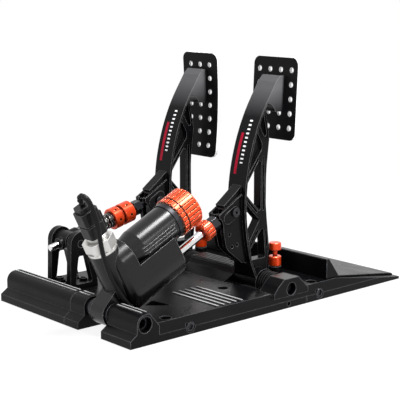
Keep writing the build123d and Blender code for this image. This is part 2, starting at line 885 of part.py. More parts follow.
pedals = (
    Pedal(
        "brake", brake_x, brake_line, brake_columns, brake_rows,
        brake_pad_z, brake_pad_tilt, brake_pad_bow,
    ),
    Pedal(
        "throttle", throttle_x, throttle_line, throttle_columns, throttle_rows,
        throttle_pad_z, throttle_pad_tilt, throttle_pad_bow,
    ),
)
band_front = [arm_point(share) for share in band_shares]
band_back = [(y - band_thick, z) for y, z in reversed(band_front)]
band_core = [(y - band_thick / 2, z) for y, z in band_front]
head_top = arm_point(head_top_share)
head_low = [arm_point(share) for share in head_low_shares]
rod_slot = clevis_width - cheek_thick * 2
for pedal in pedals:
    x = pedal.x
    with BuildPart() as arm:
        # broad front band, from the hub to the head
        with BuildSketch(side_plane(x - hub_width / 2)):
            with BuildLine():
                front = Spline(*band_front)
                line = Polyline(front @ 1, head_top, (pad_face_y - pad_thick, head_top[1]))
                low = Polyline(line @ 1, *head_low)
                ThreePointArc(low @ 1, arm_point(head_arch_share), band_back[2])
                back = Spline(*band_back[2:])
                Line(back @ 1, front @ 0)
            make_face()
        extrude(amount=hub_width)
        # the band is narrow above and flares out to the hub
        with BuildSketch(Plane.XZ.offset(-arm_height)):
            flare_z = shaft_z + flare_top_share * arm_height
            foot_z = shaft_z + flare_foot_share * arm_height
            with BuildLine():
                Polyline(
                    (x - hub_width / 2, 0),
                    (x - hub_width / 2, foot_z),
                    (x - band_width / 2, flare_z),
                    (x - band_width / 2, head_top[1] + over),
                    (x + band_width / 2, head_top[1] + over),
                    (x + band_width / 2, flare_z),
                    (x + hub_width / 2, foot_z),
                    (x + hub_width / 2, 0),
                    close=True,
                )
            make_face()
        extrude(amount=arm_height * 2, mode=Mode.INTERSECT)
        # truss behind the band
        with BuildSketch(side_plane(x - truss_width / 2)):
            with BuildLine():
                Polyline(*band_core, *[arm_point(share) for share in post_shares], close=True)
            make_face()
            for corners in window_shares:
                with BuildLine():
                    FilletPolyline(
                        *[arm_point(share) for share in corners], radius=corner_round, close=True
                    )
                make_face(mode=Mode.SUBTRACT)
        extrude(amount=truss_width)
        # hub
        with BuildSketch(side_plane(x - hub_width / 2)):
            with Locations((shaft_y, shaft_z)):
                Circle(hub_radius)
        extrude(amount=hub_width)
        # pockets in both sides of the truss
        for side in (-1, 1):
            face = Plane(
                origin=(x + side * web_thick / 2, 0, 0), x_dir=(0, side, 0), z_dir=(side, 0, 0)
            )
            with BuildSketch(face):
                for start, end in pocket_shares:
                    p = arm_point(start)
                    q = arm_point(end)
                    middle = ((p[0] + q[0]) / 2 * side, (p[1] + q[1]) / 2)
                    turn = degrees(atan2(q[1] - p[1], (q[0] - p[0]) * side))
                    with Locations(Location(middle, turn)):
                        SlotCenterToCenter(hypot(q[0] - p[0], q[1] - p[1]), pocket_width)
                for corners in panel_shares:
                    with BuildLine():
                        panel = [arm_point(share) for share in corners]
                        FilletPolyline(
                            *[(py * side, pz) for py, pz in panel], radius=corner_round, close=True
                        )
                    make_face()
            extrude(amount=(truss_width - web_thick) / 2 + fit_gap, mode=Mode.SUBTRACT)
        # clevis: two cheeks in front of the band, bridged at the mouth
        with BuildSketch(side_plane(x - clevis_width / 2)):
            with BuildLine():
                Polyline(*[arm_point(share) for share in clevis_shares], close=True)
            make_face()
        extrude(amount=clevis_width)
        with BuildSketch(side_plane(x - ramp_width / 2)):
            with BuildLine():
                Polyline(*[arm_point(share) for share in ramp_shares], close=True)
            make_face()
        extrude(amount=ramp_width)
        with BuildSketch(side_plane(x - ramp_width / 2)):
            with BuildLine():
                Polyline(*[arm_point(share) for share in dish_shares], close=True)
            make_face()
        extrude(amount=ramp_width, mode=Mode.SUBTRACT)
        mouth = (
            (slot_shares[-1][0], mouth_share[1]),
            mouth_share,
            (mouth_share[0], 0),
        )
        with BuildSketch(side_plane(x - rod_slot / 2)):
            with BuildLine():
                Polyline(*[arm_point(share) for share in slot_shares + mouth], close=True)
            make_face()
        extrude(amount=rod_slot, mode=Mode.SUBTRACT)
        for side in (-1, 1):
            face = Plane(
                origin=(x + side * clevis_width / 2, 0, 0), x_dir=(0, side, 0), z_dir=(side, 0, 0)
            )
            p, q = [arm_point(share) for share in boss_shares]
            turn = degrees(atan2(q[1] - p[1], (q[0] - p[0]) * side))
            with BuildSketch(face):
                with Locations(Location(((p[0] + q[0]) / 2 * side, (p[1] + q[1]) / 2), turn)):
                    SlotCenterToCenter(hypot(q[0] - p[0], q[1] - p[1]), boss_radius * 2)
            extrude(amount=boss_height)
            with BuildSketch(face.offset(over)):
                for share in plate_hole_shares:
                    hole = arm_point(share)
                    with Locations((hole[0] * side, hole[1])):
                        Circle(plate_hole_dia / 2)
            extrude(amount=-cheek_thick - over * 2, mode=Mode.SUBTRACT)
        # bores for the clevis pin, the shaft's bushes and the pad screws
        with BuildSketch(side_plane(x - clevis_width)):
            with Locations(pedal.line.pin):
                Circle(pin_dia / 2 + fit_gap)
        extrude(amount=clevis_width * 2, mode=Mode.SUBTRACT)
        with BuildSketch(side_plane(x - hub_width)):
            with Locations((shaft_y, shaft_z)):
                Circle(shaft_dia / 2 + bush_wall + fit_gap)
        extrude(amount=hub_width * 2, mode=Mode.SUBTRACT)
        with BuildSketch(pad_flank(x, pedal.pad_z, pedal.tilt, band_width)):
            with BuildLine():
                seat = bow_arc(pedal.height / 2, pedal.bow, 0)
                Polyline(
                    seat @ 1,
                    (pad_thick * 4, pedal.height / 2),
                    (pad_thick * 4, -pedal.height / 2),
                    seat @ 0,
                )
            make_face()
        extrude(amount=band_width * 2, mode=Mode.SUBTRACT)
        with BuildSketch(pad_plane(x, pedal.pad_z, pedal.tilt)):
            with Locations(*pedal.screw_places()):
                Circle(screw_dia / 2 + fit_gap)
        extrude(amount=-pad_screw_length + pad_thick - over, mode=Mode.SUBTRACT)
    print(pedal.name, round(arm.part.volume), len(arm.part.solids()), len(pedal.screw_places()))
    save(arm.part, pedal.name + "_arm")

    # pad
    with BuildPart() as pad:
        with BuildSketch(pad_flank(x, pedal.pad_z, pedal.tilt, pedal.width / 2)):
            with BuildLine():
                near = bow_arc(pedal.height / 2, pedal.bow, 0)
                far = bow_arc(pedal.height / 2, pedal.bow, pad_thick)
                Line(near @ 0, far @ 0)
                Line(near @ 1, far @ 1)
            make_face()
        extrude(amount=pedal.width)
        with BuildSketch(pad_plane(x, pedal.pad_z, pedal.tilt).offset(-pad_thick * 2)):
            RectangleRounded(pedal.width, pedal.height, pad_corner)
        extrude(amount=pad_thick * 4, mode=Mode.INTERSECT)
        with BuildSketch(pad_plane(x, pedal.pad_z, pedal.tilt).offset(-pad_thick * 2)):
            with GridLocations(pad_column_pitch, pad_row_pitch, pedal.columns, pedal.rows):
                Circle(pad_hole_dia / 2)
        extrude(amount=pad_thick * 4, mode=Mode.SUBTRACT)
    save(pad.part, pedal.name + "_pad")

    # pad screws, in from the driver's side
    with BuildPart() as pad_screws:
        for px, pz in pedal.screw_places():
            inner = max(abs(pz) - screw_head_dia / 2, 0)
            depth = pad_thick - pedal.bow * (inner * 2 / pedal.height) ** 2
            seat = pad_plane(x, pedal.pad_z, pedal.tilt).offset(depth)
            with BuildSketch(seat):
                with Locations((px, pz)):
                    Circle(screw_head_dia / 2)
            extrude(amount=screw_head_height)
            with BuildSketch(seat):
                with Locations((px, pz)):
                    Circle(screw_dia / 2)
            extrude(amount=-pad_screw_length)
            with BuildSketch(seat.offset(screw_head_height)):
                with Locations((px, pz)):
                    RegularPolygon(hex_socket, 6, major_radius=False)
            extrude(amount=-hex_depth, mode=Mode.SUBTRACT)
    save(pad_screws.part, pedal.name + "_pad_screws")

    # bushes in both ends of the hub
    with BuildPart() as bushes:
        for x0 in (x - hub_width / 2, x + hub_width / 2 - bush_length):
            with BuildSketch(side_plane(x0)):
                with Locations((shaft_y, shaft_z)):
                    Circle(shaft_dia / 2 + bush_wall)
                    Circle(shaft_dia / 2 + fit_gap, mode=Mode.SUBTRACT)
            extrude(amount=bush_length)
    save(bushes.part, pedal.name + "_bushes")

    # clevis pin with its head on the left and its nut on the right
    pin_reach = clevis_width / 2 + boss_height
    with BuildPart() as pin:
        with BuildSketch(side_plane(x - pin_reach)):
            with Locations(pedal.line.pin):
                Circle(pin_dia / 2)
        extrude(amount=pin_reach * 2 + pin_nut_height)
        with BuildSketch(side_plane(x - pin_reach - pin_head_height)):
            with Locations(pedal.line.pin):
                Circle(pin_head_dia / 2)
                RegularPolygon(hex_socket / 2, 6, major_radius=False, mode=Mode.SUBTRACT)
        extrude(amount=pin_head_height)
        with BuildSketch(side_plane(x + pin_reach)):
            with Locations(pedal.line.pin):
                RegularPolygon(pin_head_dia / 2, 6, major_radius=False)
        extrude(amount=pin_nut_height)
    save(pin.part, pedal.name + "_clevis_pin")

    # eye on the end of the rod, with its threaded shank
    line = pedal.line
    with BuildPart() as rod_end:
        with BuildSketch(line.flank(-eye_width / 2)):
            Circle(eye_radius)
        extrude(amount=eye_width)
        with BuildSketch(line.along(0)):
            Circle(shank_dia / 2)
        extrude(amount=shank_end)
        with BuildSketch(line.flank(-eye_width)):
            Circle(pin_dia / 2 + eye_gap)
        extrude(amount=eye_width * 2, mode=Mode.SUBTRACT)
    save(rod_end.part, pedal.name + "_rod_end")

    # hexagon nut that locks the eye
    with BuildPart() as nut:
        with BuildSketch(line.along(nut_start if line is brake_line else strut_nut_start)):
            RegularPolygon(nut_across / 2, 6, major_radius=False)
            Circle(shank_dia / 2 + fit_gap, mode=Mode.SUBTRACT)
        extrude(amount=nut_length)
    save(nut.part, pedal.name + "_rod_nut")


def line_axis(line, offset=0.0):
    """Axis along a strut, so far square to it."""
    return Axis(line.point(0, offset), line.along(0).z_dir)


def half_outline(offset, outline):
    """Closed outline from (station, radius) points above a line beside the strut."""
    with BuildLine() as half:
        Polyline(*[(station, offset + radius) for station, radius in outline], close=True)
    return half.line


# Brake cylinder body: a hull of two rounds that cradles the barrel
nest_edge = barrel_offset - body_drop
body_reach = body_radius + body_side
with BuildPart() as brake_body:
    with BuildSketch(brake_line.along(body_start)):
        with Locations((0, barrel_offset)):
            Circle(barrel_radius + body_side)
        with Locations((0, body_offset)):
            Circle(body_radius)
        make_hull()
    extrude(amount=body_end - body_start)
    fillet(brake_body.faces().sort_by(line_axis(brake_line))[-1].edges(), front_round)
    # boss that carries the pressure sensor
    with BuildSketch(brake_line.upright(sensor_station, body_offset)):
        Circle(sensor_boss_radius)
    extrude(amount=sensor_boss_top - body_offset)
    # lug that hangs the unit on the front tube
    with BuildSketch(brake_line.flank(-lug_half)):
        with Locations((brake_line.length, 0)):
            Circle(lug_radius)
        with Locations((lug_root, body_offset)):
            Circle(lug_radius + body_side)
        make_hull()
    extrude(amount=lug_half * 2)
    with BuildSketch(brake_line.flank(-body_reach)):
        with BuildLine():
            Polyline(
                (body_start - over, nest_edge),
                (shoulder_station, nest_edge),
                (shoulder_station, sensor_boss_top + over),
                (body_start - over, sensor_boss_top + over),
                close=True,
            )
        make_face()
    extrude(amount=body_reach * 2, mode=Mode.SUBTRACT)
    with BuildSketch(brake_line.along(body_start - over, barrel_offset)):
        Circle(barrel_radius + fit_gap)
    extrude(amount=shoulder_station - body_start + over, mode=Mode.SUBTRACT)
    with BuildSketch(brake_line.along(body_start - over)):
        Circle(body_bore)
    extrude(amount=body_bore_end - body_start + over, mode=Mode.SUBTRACT)
    with BuildSketch(side_plane(brake_x - body_reach)):
        with Locations((bar_y, bar_z)):
            Circle(tube_dia / 2 + fit_gap)
    extrude(amount=body_reach * 2, mode=Mode.SUBTRACT)
    with BuildSketch(brake_line.upright(sensor_station, sensor_boss_top + over)):
        Circle(sensor_stem_dia / 2 + fit_gap)
    extrude(amount=-sensor_stem_length - over * 2, mode=Mode.SUBTRACT)
print("body", round(brake_body.part.volume), len(brake_body.part.solids()))
save(brake_body.part, "brake_body")

# Barrel beside the rod, with a tapered nose and lengthwise flutes
barrel_floor = barrel_end - cheek_thick
with BuildPart() as brake_barrel:
    with BuildSketch(brake_line.flank()):
        add(
            half_outline(
                barrel_offset,
                (
                    (barrel_start, barrel_bore),
                    (barrel_start, barrel_radius),
                    (barrel_end - barrel_nose, barrel_radius),
                    (barrel_end, barrel_radius - barrel_nose_drop),
                    (barrel_end, 0),
                    (barrel_floor, 0),
                    (barrel_floor, barrel_bore),
                ),
            )
        )
        make_face()
    revolve(axis=line_axis(brake_line, barrel_offset))
    with BuildSketch(brake_line.along(barrel_start + ring_length + knob_edge, barrel_offset)):
        for side in (0, 1):
            for k in range(flute_count):
                above = flute_first - k * flute_pitch
                angle = radians(180 - above if side else above)
                with Locations((barrel_radius * cos(angle), barrel_radius * sin(angle))):
                    Circle(flute_radius)
    extrude(amount=barrel_end - barrel_start, mode=Mode.SUBTRACT)
save(brake_barrel.part, "brake_barrel")

with BuildPart() as barrel_ring:
    with BuildSketch(brake_line.along(ring_start, barrel_offset)):
        Circle(ring_radius)
        Circle(barrel_radius + fit_gap, mode=Mode.SUBTRACT)
    extrude(amount=ring_length)
save(barrel_ring.part, "barrel_ring")

# Elastomer discs inside the barrel
with BuildPart() as elastomer_stack:
    for k in range(disc_count):
        with BuildSketch(brake_line.along(disc_start + k * (disc_length + disc_gap), barrel_offset)):
            Circle(barrel_bore - seat_gap)
            Circle(screw_post_dia / 2 + seat_gap, mode=Mode.SUBTRACT)
        extrude(amount=disc_length)
save(elastomer_stack.part, "elastomer_stack")

# Load knob with its spigot in the barrel and the post through the discs
with BuildPart() as load_knob:
    with BuildSketch(brake_line.flank()):
        add(
            half_outline(
                barrel_offset,
                (
                    (knob_start + knob_dish_depth, 0),
                    (knob_start + knob_dish_depth, knob_dish_radius),
                    (knob_start, knob_dish_radius + knob_edge),
                    (knob_start, knob_radius - knob_edge),
                    (knob_start + knob_edge, knob_radius),
                    (knob_ring_station, knob_radius),
                    (knob_ring_station, knob_radius - knob_rib_depth),
                    (knob_ring_station + knob_ring_width, knob_radius - knob_rib_depth),
                    (knob_ring_station + knob_ring_width, knob_radius),
                    (knob_end - knob_edge, knob_radius),
                    (knob_end, knob_radius - knob_edge),
                    (knob_end, barrel_bore - fit_gap),
                    (disc_start - seat_gap, barrel_bore - fit_gap),
                    (disc_start - seat_gap, screw_post_dia / 2),
                    (barrel_floor - seat_gap, screw_post_dia / 2),
                    (barrel_floor - seat_gap, 0),
                ),
            )
        )
        make_face()
    revolve(axis=line_axis(brake_line, barrel_offset))
    with BuildSketch(brake_line.along(knob_start - over, barrel_offset)):
        with PolarLocations(knob_radius, knob_ribs):
            Rectangle(knob_rib_depth * 2, knob_rib_gap)
    extrude(amount=knob_end - knob_start + over * 2, mode=Mode.SUBTRACT)
save(load_knob.part, "load_knob")

# Push rod with its piston, seal and small travel knob
rod_start = nut_start + nut_length
with BuildPart() as push_rod:
    with BuildSketch(brake_line.along(rod_start)):
        Circle(rod_dia / 2)
    extrude(amount=piston_start + piston_length - rod_start)
    with BuildSketch(brake_line.along(piston_start)):
        Circle(body_bore - fit_gap)
    extrude(amount=piston_length)
    with BuildSketch(brake_line.along(rod_start - over)):
        Circle(shank_dia / 2 + fit_gap)
    extrude(amount=shank_end - rod_start + over + seat_gap, mode=Mode.SUBTRACT)
save(push_rod.part, "push_rod")

with BuildPart() as rod_seal:
    with BuildSketch(brake_line.along(body_start)):
        Circle(body_bore - fit_gap)
        Circle(rod_dia / 2 + fit_gap, mode=Mode.SUBTRACT)
    extrude(amount=seal_length)
save(rod_seal.part, "rod_seal")

with BuildPart() as travel_knob:
    with BuildSketch(brake_line.flank()):
        add(
            half_outline(
                0,
                (
                    (knob2_start, rod_dia / 2 + fit_gap),
                    (knob2_start, knob2_radius - knob_edge),
                    (knob2_start + knob_edge, knob2_radius),
                    (knob2_end - knob_edge, knob2_radius),
                    (knob2_end, knob2_radius - knob_edge),
                    (knob2_end, rod_dia / 2 + fit_gap),
                ),
            )
        )
        make_face()
    revolve(axis=line_axis(brake_line))
    with BuildSketch(brake_line.along(knob2_start - over)):
        with PolarLocations(knob2_radius, knob2_ribs):
            Rectangle(knob_rib_depth * 2, knob_rib_gap)
    extrude(amount=knob2_end - knob2_start + over * 2, mode=Mode.SUBTRACT)
save(travel_knob.part, "travel_knob")

# Pressure sensor
sensor_hex_top = sensor_boss_top + sensor_flange_height + sensor_hex_height
sensor_top = sensor_hex_top + sensor_neck_height
with BuildPart() as pressure_sensor:
    with BuildSketch(brake_line.upright(sensor_station, sensor_boss_top)):
        Circle(sensor_flange_radius)
    extrude(amount=sensor_flange_height)
    with BuildSketch(brake_line.upright(sensor_station, sensor_boss_top + sensor_flange_height)):
        RegularPolygon(sensor_across / 2, 6, major_radius=False)
    extrude(amount=sensor_hex_height)
    with BuildSketch(brake_line.upright(sensor_station, sensor_hex_top)):
        Circle(sensor_neck_radius)
    extrude(amount=sensor_neck_height)
    with BuildSketch(brake_line.upright(sensor_station, sensor_boss_top)):
        Circle(sensor_stem_dia / 2)
    extrude(amount=-sensor_stem_length)
save(pressure_sensor.part, "pressure_sensor")

# Sensor plug with its latch
plug_top = sensor_top + plug_length
with BuildPart() as sensor_plug:
    with BuildSketch(brake_line.upright(sensor_station, sensor_top)):
        RectangleRounded(plug_width, plug_depth, plug_waist * 2)
    extrude(amount=plug_length)
    with BuildSketch(brake_line.upright(sensor_station, sensor_top + plug_length * plug_step_share)):
        Rectangle(plug_width + plug_waist, plug_depth + plug_waist)
        RectangleRounded(
            plug_width - plug_waist, plug_depth - plug_waist, plug_waist, mode=Mode.SUBTRACT
        )
    extrude(amount=plug_waist, mode=Mode.SUBTRACT)
    with BuildSketch(brake_line.upright(sensor_station - plug_depth / 2, sensor_top + plug_waist)):
        Rectangle(latch_width, latch_thick * 2)
    extrude(amount=latch_length)
    with BuildSketch(brake_line.upright(sensor_station, plug_top)):
        RectangleRounded(plug_width - plug_waist * 2, plug_depth - plug_waist * 2, plug_waist * 2)
    extrude(amount=plug_cap_length)
save(sensor_plug.part, "sensor_plug")

# Tight arch of the cable's boot over the plug
boot_top = plug_top + plug_cap_length
with BuildPart() as cable_boot:
    with BuildLine() as arch:
        rise = Line(
            brake_line.point(sensor_station, boot_top),
            brake_line.point(sensor_station, boot_top + boot_stub),
        )
        bend = ThreePointArc(
            rise @ 1,
            brake_line.point(sensor_station, boot_top + boot_stub + boot_radius, -boot_radius),
            brake_line.point(sensor_station, boot_top + boot_stub, -boot_radius * 2),
        )
        Line(bend @ 1, brake_line.point(sensor_station, boot_top, -boot_radius * 2))
    with BuildSketch(brake_line.upright(sensor_station, boot_top)):
        Circle(boot_tube)
    sweep()
save(cable_boot.part, "cable_boot")
print("boot end", brake_line.point(sensor_station, boot_top, -boot_radius * 2))


# Throttle strut: a rod that slides through a trunnion, with a return spring
strut_axis = line_axis(throttle_line)
pivot_station = throttle_line.length
seat_start = pivot_station - trunnion_radius - seat_thick
strut_start = strut_nut_start + nut_length
with BuildPart() as strut_trunnion:
    with BuildSketch(throttle_line.flank(-trunnion_half)):
        with Locations((pivot_station, 0)):
            Circle(trunnion_radius)
    extrude(amount=trunnion_half * 2)
    with BuildSketch(side_plane(bracket_left_x - bracket_thick / 2)):
        with Locations((trunnion_y, trunnion_z)):
            Circle(trunnion_pin_dia / 2)
    extrude(amount=bracket_right_x - bracket_left_x + bracket_thick)
    with BuildSketch(throttle_line.along(pivot_station)):
        Circle(guide_radius)
    extrude(amount=guide_length)
    with BuildSketch(throttle_line.along(seat_start)):
        Circle(seat_radius)
    extrude(amount=trunnion_radius + seat_thick)
    with BuildSketch(throttle_line.along(seat_start - over)):
        Circle(strut_dia / 2 + fit_gap)
    extrude(amount=pivot_station * 2, mode=Mode.SUBTRACT)
save(strut_trunnion.part, "strut_trunnion")

with BuildPart() as strut_rod:
    with BuildSketch(throttle_line.along(strut_start)):
        Circle(strut_dia / 2)
    extrude(amount=pivot_station + strut_tail - strut_start)
    chamfer(strut_rod.faces().sort_by(strut_axis)[-1].edges(), strut_dia * edge_share)
    with BuildSketch(throttle_line.along(strut_start)):
        Circle(thread_dia / 2)
    extrude(amount=collar_end + seat_gap - strut_start)
    with BuildSketch(throttle_line.along(strut_start - over)):
        Circle(shank_dia / 2 + fit_gap)
    extrude(amount=shank_end - strut_start + over + seat_gap, mode=Mode.SUBTRACT)
save(strut_rod.part, "strut_rod")

# Two orange collars on the threaded sleeve: the rear one locks the front one
collar_middle = (collar_start + collar_end) / 2
for name, start, groove_start, end in (
    ("lock_collar", collar_start, collar_middle - seat_gap, collar_middle - seat_gap),
    ("preload_collar", collar_middle, collar_middle + collar_groove, collar_end),
):
    with BuildPart() as ring:
        with BuildSketch(throttle_line.along(start)):
            Circle(collar_core)
        extrude(amount=end - start)
        outer_start = start if name == "lock_collar" else groove_start
        with BuildSketch(throttle_line.along(outer_start)):
            Circle(collar_radius)
        extrude(amount=end - outer_start)
        chamfer(ring.edges().filter_by(GeomType.CIRCLE).sort_by(SortBy.RADIUS)[-2:], knob_edge / 2)
        with BuildSketch(throttle_line.along(start - over)):
            Circle(thread_dia / 2 + fit_gap)
        extrude(amount=end - start + over * 2, mode=Mode.SUBTRACT)
        middle = (outer_start + end) / 2
        for k in range(collar_hole_count):
            turn = 2 * pi * k / collar_hole_count
            out = throttle_line.along(middle).from_local_coords(Vector(cos(turn), sin(turn), 0))
            centre = throttle_line.point(middle)
            with BuildSketch(Plane(origin=centre, z_dir=out - centre).offset(collar_core)):
                Circle(collar_hole_dia / 2)
            extrude(amount=collar_radius, mode=Mode.SUBTRACT)
    save(ring.part, name)


def biarc(p0, t0, p1, t1):
    """Two arcs that join two points along two unit directions, as three points each."""
    chord = p1 - p0
    both = t0 + t1
    a = 2 * (t0.dot(t1) - 1)
    b = -2 * chord.dot(both)
    c = chord.dot(chord)
    reach = c / -b if abs(a) < 1e-9 else (-b - sqrt(b * b - 4 * a * c)) / (2 * a)
    joint = (p0 + t0 * reach + p1 - t1 * reach) / 2
    return joint, (p1 - t1 * reach - p0 - t0 * reach).normalized()


# Return spring: an open coil between the collar and the trunnion's seat
coil_start = collar_end + wire_dia / 2 + seat_gap
coil_end = seat_start - wire_dia / 2 - seat_gap
coil_pitch = (coil_end - coil_start) / spring_turns
coil_plane = throttle_line.along(coil_start)
steps = spring_turns * 2


def coil_point(step):
    """Point on the coil after so many half turns."""
    turn = pi * step
    return coil_plane.from_local_coords(
        Vector(spring_radius * cos(turn), spring_radius * sin(turn), coil_pitch * step / 2)
    )


def coil_direction(step):
    """Unit direction of the wire after so many half turns."""
    turn = pi * step
    speed = hypot(2 * pi * spring_radius, coil_pitch)
    tip = coil_plane.from_local_coords(
        Vector(
            -2 * pi * spring_radius * sin(turn) / speed,
            2 * pi * spring_radius * cos(turn) / speed,
            coil_pitch / speed,
        )
    )
    return tip - coil_plane.origin


with BuildPart() as return_spring:
    with BuildLine() as wire:
        for step in range(steps):
            p0 = coil_point(step)
            p1 = coil_point(step + 1)
            t0 = coil_direction(step)
            t1 = coil_direction(step + 1)
            joint, across = biarc(p0, t0, p1, t1)
            TangentArc(p0, joint, tangent=t0)
            TangentArc(joint, p1, tangent=across)
    with BuildSketch(Plane(origin=coil_point(0), z_dir=coil_direction(0))):
        Circle(wire_dia / 2)
    sweep()
wire_length = run_length(wire)
print("coil gap", round(coil_pitch - wire_dia, 2), "wire length", round(wire_length, 1))
print("coil volume", round(return_spring.part.volume, 1), round(wire_length * pi * wire_dia**2 / 4, 1))
save(return_spring.part, "return_spring")

# Two uprights that carry the trunnion
for name, x0, inward in (
    ("left_upright", bracket_left_x - bracket_thick / 2, 1),
    ("right_upright", bracket_right_x - bracket_thick / 2, -1),
):
    with BuildPart() as upright:
        with BuildSketch(side_plane(x0)):
            with Locations((trunnion_y, trunnion_z)):
                Circle(bracket_head)
            foot_y = trunnion_y + (bracket_foot_front - bracket_foot_rear) / 2
            with Locations((foot_y, floor_top + bracket_foot_height / 2)):
                Rectangle(bracket_foot_front + bracket_foot_rear, bracket_foot_height)
            make_hull()
            with BuildLine():
                FilletPolyline(
                    (trunnion_y + bracket_foot_front - bracket_leg, floor_top + bracket_foot_height),
                    (trunnion_y + bracket_leg / 2, trunnion_z - bracket_head),
                    (trunnion_y - bracket_leg, trunnion_z - bracket_head),
                    (trunnion_y - bracket_foot_rear + bracket_leg, floor_top + bracket_foot_height),
                    radius=corner_round,
                    close=True,
                )
            make_face(mode=Mode.SUBTRACT)
        extrude(amount=bracket_thick)
        flange_x = x0 + bracket_thick / 2 + inward * bracket_reach
        with BuildSketch(Plane.XY.offset(floor_top)):
            with Locations((flange_x, foot_y)):
                Rectangle(bracket_foot_extra, bracket_foot_front + bracket_foot_rear)
        extrude(amount=bracket_foot_height)
        with BuildSketch(side_plane(x0 - over)):
            with Locations((trunnion_y, trunnion_z)):
                Circle(trunnion_pin_dia / 2 + fit_gap)
        extrude(amount=bracket_thick + over * 2, mode=Mode.SUBTRACT)
        with BuildSketch(Plane.XY.offset(floor_top - over)):
            with Locations(*[place for place in bracket_bolt_places if place[0] == flange_x]):
                Circle(bolt_dia / 2 + fit_gap)
        extrude(amount=bracket_foot_height + over * 2, mode=Mode.SUBTRACT)
    save(upright.part, name)

with BuildPart() as bracket_bolts:
    bolt_seat = Plane.XY.offset(floor_top + bracket_foot_height)
    with BuildSketch(bolt_seat):
        with Locations(*bracket_bolt_places):
            Circle(screw_head_dia / 2)
    extrude(amount=screw_head_height)
    with BuildSketch(bolt_seat):
        with Locations(*bracket_bolt_places):
            Circle(bolt_dia / 2)
    extrude(amount=-bracket_foot_height - floor_top + lip_height + over * 2)
    with BuildSketch(bolt_seat.offset(screw_head_height)):
        with Locations(*bracket_bolt_places):
            RegularPolygon(hex_socket, 6, major_radius=False)
    extrude(amount=-hex_depth, mode=Mode.SUBTRACT)
save(bracket_bolts.part, "bracket_bolts")

# Stop adjusters: a headed stud in each boss, with a locking disc under it
for pedal in pedals:
    place = (pedal.x - stop_side, shaft_y - stop_reach)
    with BuildPart() as stop:
        with BuildSketch(Plane.XY.offset(lip_height + over)):
            with Locations(place):
                Circle(stop_stud_dia / 2)
        extrude(amount=stop_head_end - lip_height - over)
        with BuildSketch(Plane.XY.offset(stop_head_start)):
            with Locations(place):
                Circle(stop_lock_radius)
        extrude(amount=stop_head_end - stop_head_start)
        chamfer(stop.faces().sort_by(Axis.Z)[-1].edges(), knob_edge / 2)
    save(stop.part, pedal.name + "_stop")
    with BuildPart() as lock:
        with BuildSketch(Plane.XY.offset(stop_boss_top + seat_gap)):
            with Locations(place):
                Circle(stop_lock_radius)
                Circle(stop_stud_dia / 2 + fit_gap, mode=Mode.SUBTRACT)
        extrude(amount=stop_lock_height)
        chamfer(lock.edges().filter_by(GeomType.CIRCLE).sort_by(SortBy.RADIUS)[-2:], knob_edge / 2)
    save(lock.part, pedal.name + "_stop_lock")

# Sensor cable and its grommet
route = [Vector(*point) for point in cable_route]
radii = []
for before, here, after in zip(route, route[1:], route[2:]):
    turn = radians((here - before).get_angle(after - here))
    run = min((here - before).length, (after - here).length)
    radii.append(run * cable_arc_share / tan(turn / 2))
print("cable radii", [round(r) for r in radii])
with BuildPart() as sensor_cable:
    with BuildLine() as path:
        FilletPolyline(*route, radius=radii)
    with BuildSketch(Plane(origin=route[0], z_dir=route[1] - route[0])):
        Circle(cable_dia / 2)
    sweep()
cable_length = run_length(path)
print("cable length", round(cable_length, 1))
print("cable volume", round(sensor_cable.part.volume), round(cable_length * pi * cable_dia**2 / 4))
save(sensor_cable.part, "sensor_cable")

with BuildPart() as cable_grommet:
    with BuildSketch(cable_end.offset(fit_gap * 2)):
        Circle(grommet_dia / 2)
    extrude(amount=grommet_sink - fit_gap * 2)
save(cable_grommet.part, "cable_grommet")
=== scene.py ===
import json
from math import radians

import bmesh
import bpy
import numpy as np
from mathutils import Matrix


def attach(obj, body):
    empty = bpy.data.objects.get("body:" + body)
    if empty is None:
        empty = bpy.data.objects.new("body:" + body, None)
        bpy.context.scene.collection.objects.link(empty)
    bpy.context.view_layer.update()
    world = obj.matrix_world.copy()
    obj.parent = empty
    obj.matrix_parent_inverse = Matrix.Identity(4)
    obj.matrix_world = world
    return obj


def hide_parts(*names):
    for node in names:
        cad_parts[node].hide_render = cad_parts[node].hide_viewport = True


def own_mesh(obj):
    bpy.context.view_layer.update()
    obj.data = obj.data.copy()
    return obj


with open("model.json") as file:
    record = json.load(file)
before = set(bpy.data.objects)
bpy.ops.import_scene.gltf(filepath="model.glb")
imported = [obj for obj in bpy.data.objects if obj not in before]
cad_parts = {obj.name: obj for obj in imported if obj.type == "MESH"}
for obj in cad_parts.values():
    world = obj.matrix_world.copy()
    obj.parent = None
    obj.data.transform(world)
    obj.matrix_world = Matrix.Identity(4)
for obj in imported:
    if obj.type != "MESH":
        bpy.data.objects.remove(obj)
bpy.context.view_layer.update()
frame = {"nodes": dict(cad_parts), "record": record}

# Everything is in metres, in the frame of the solids: +Y is the nose of the car,
# +X the driver's right, +Z up, and the origin is under the middle of the base.

nodes = frame["nodes"]
slots = {row["node"]: row["material_slot"] for row in frame["record"]["subparts"]}
scene = bpy.context.scene

# Camera
LENS = 102.86           # millimetres
SENSOR_WIDTH = 36.0     # millimetres
VIEW_TURN = 228.4       # degrees round the object
VIEW_RISE = 10.85       # degrees above the horizon
VIEW_PLACE = (-0.87714, 0.78899, 0.32293)
camera_data = bpy.data.cameras.new("camera")
camera_data.lens = LENS
camera_data.sensor_width = SENSOR_WIDTH
camera = bpy.data.objects.new("camera", camera_data)
camera.location = VIEW_PLACE
camera.rotation_euler = (radians(90.0 - VIEW_RISE), 0.0, radians(VIEW_TURN))
scene.collection.objects.link(camera)
scene.camera = camera

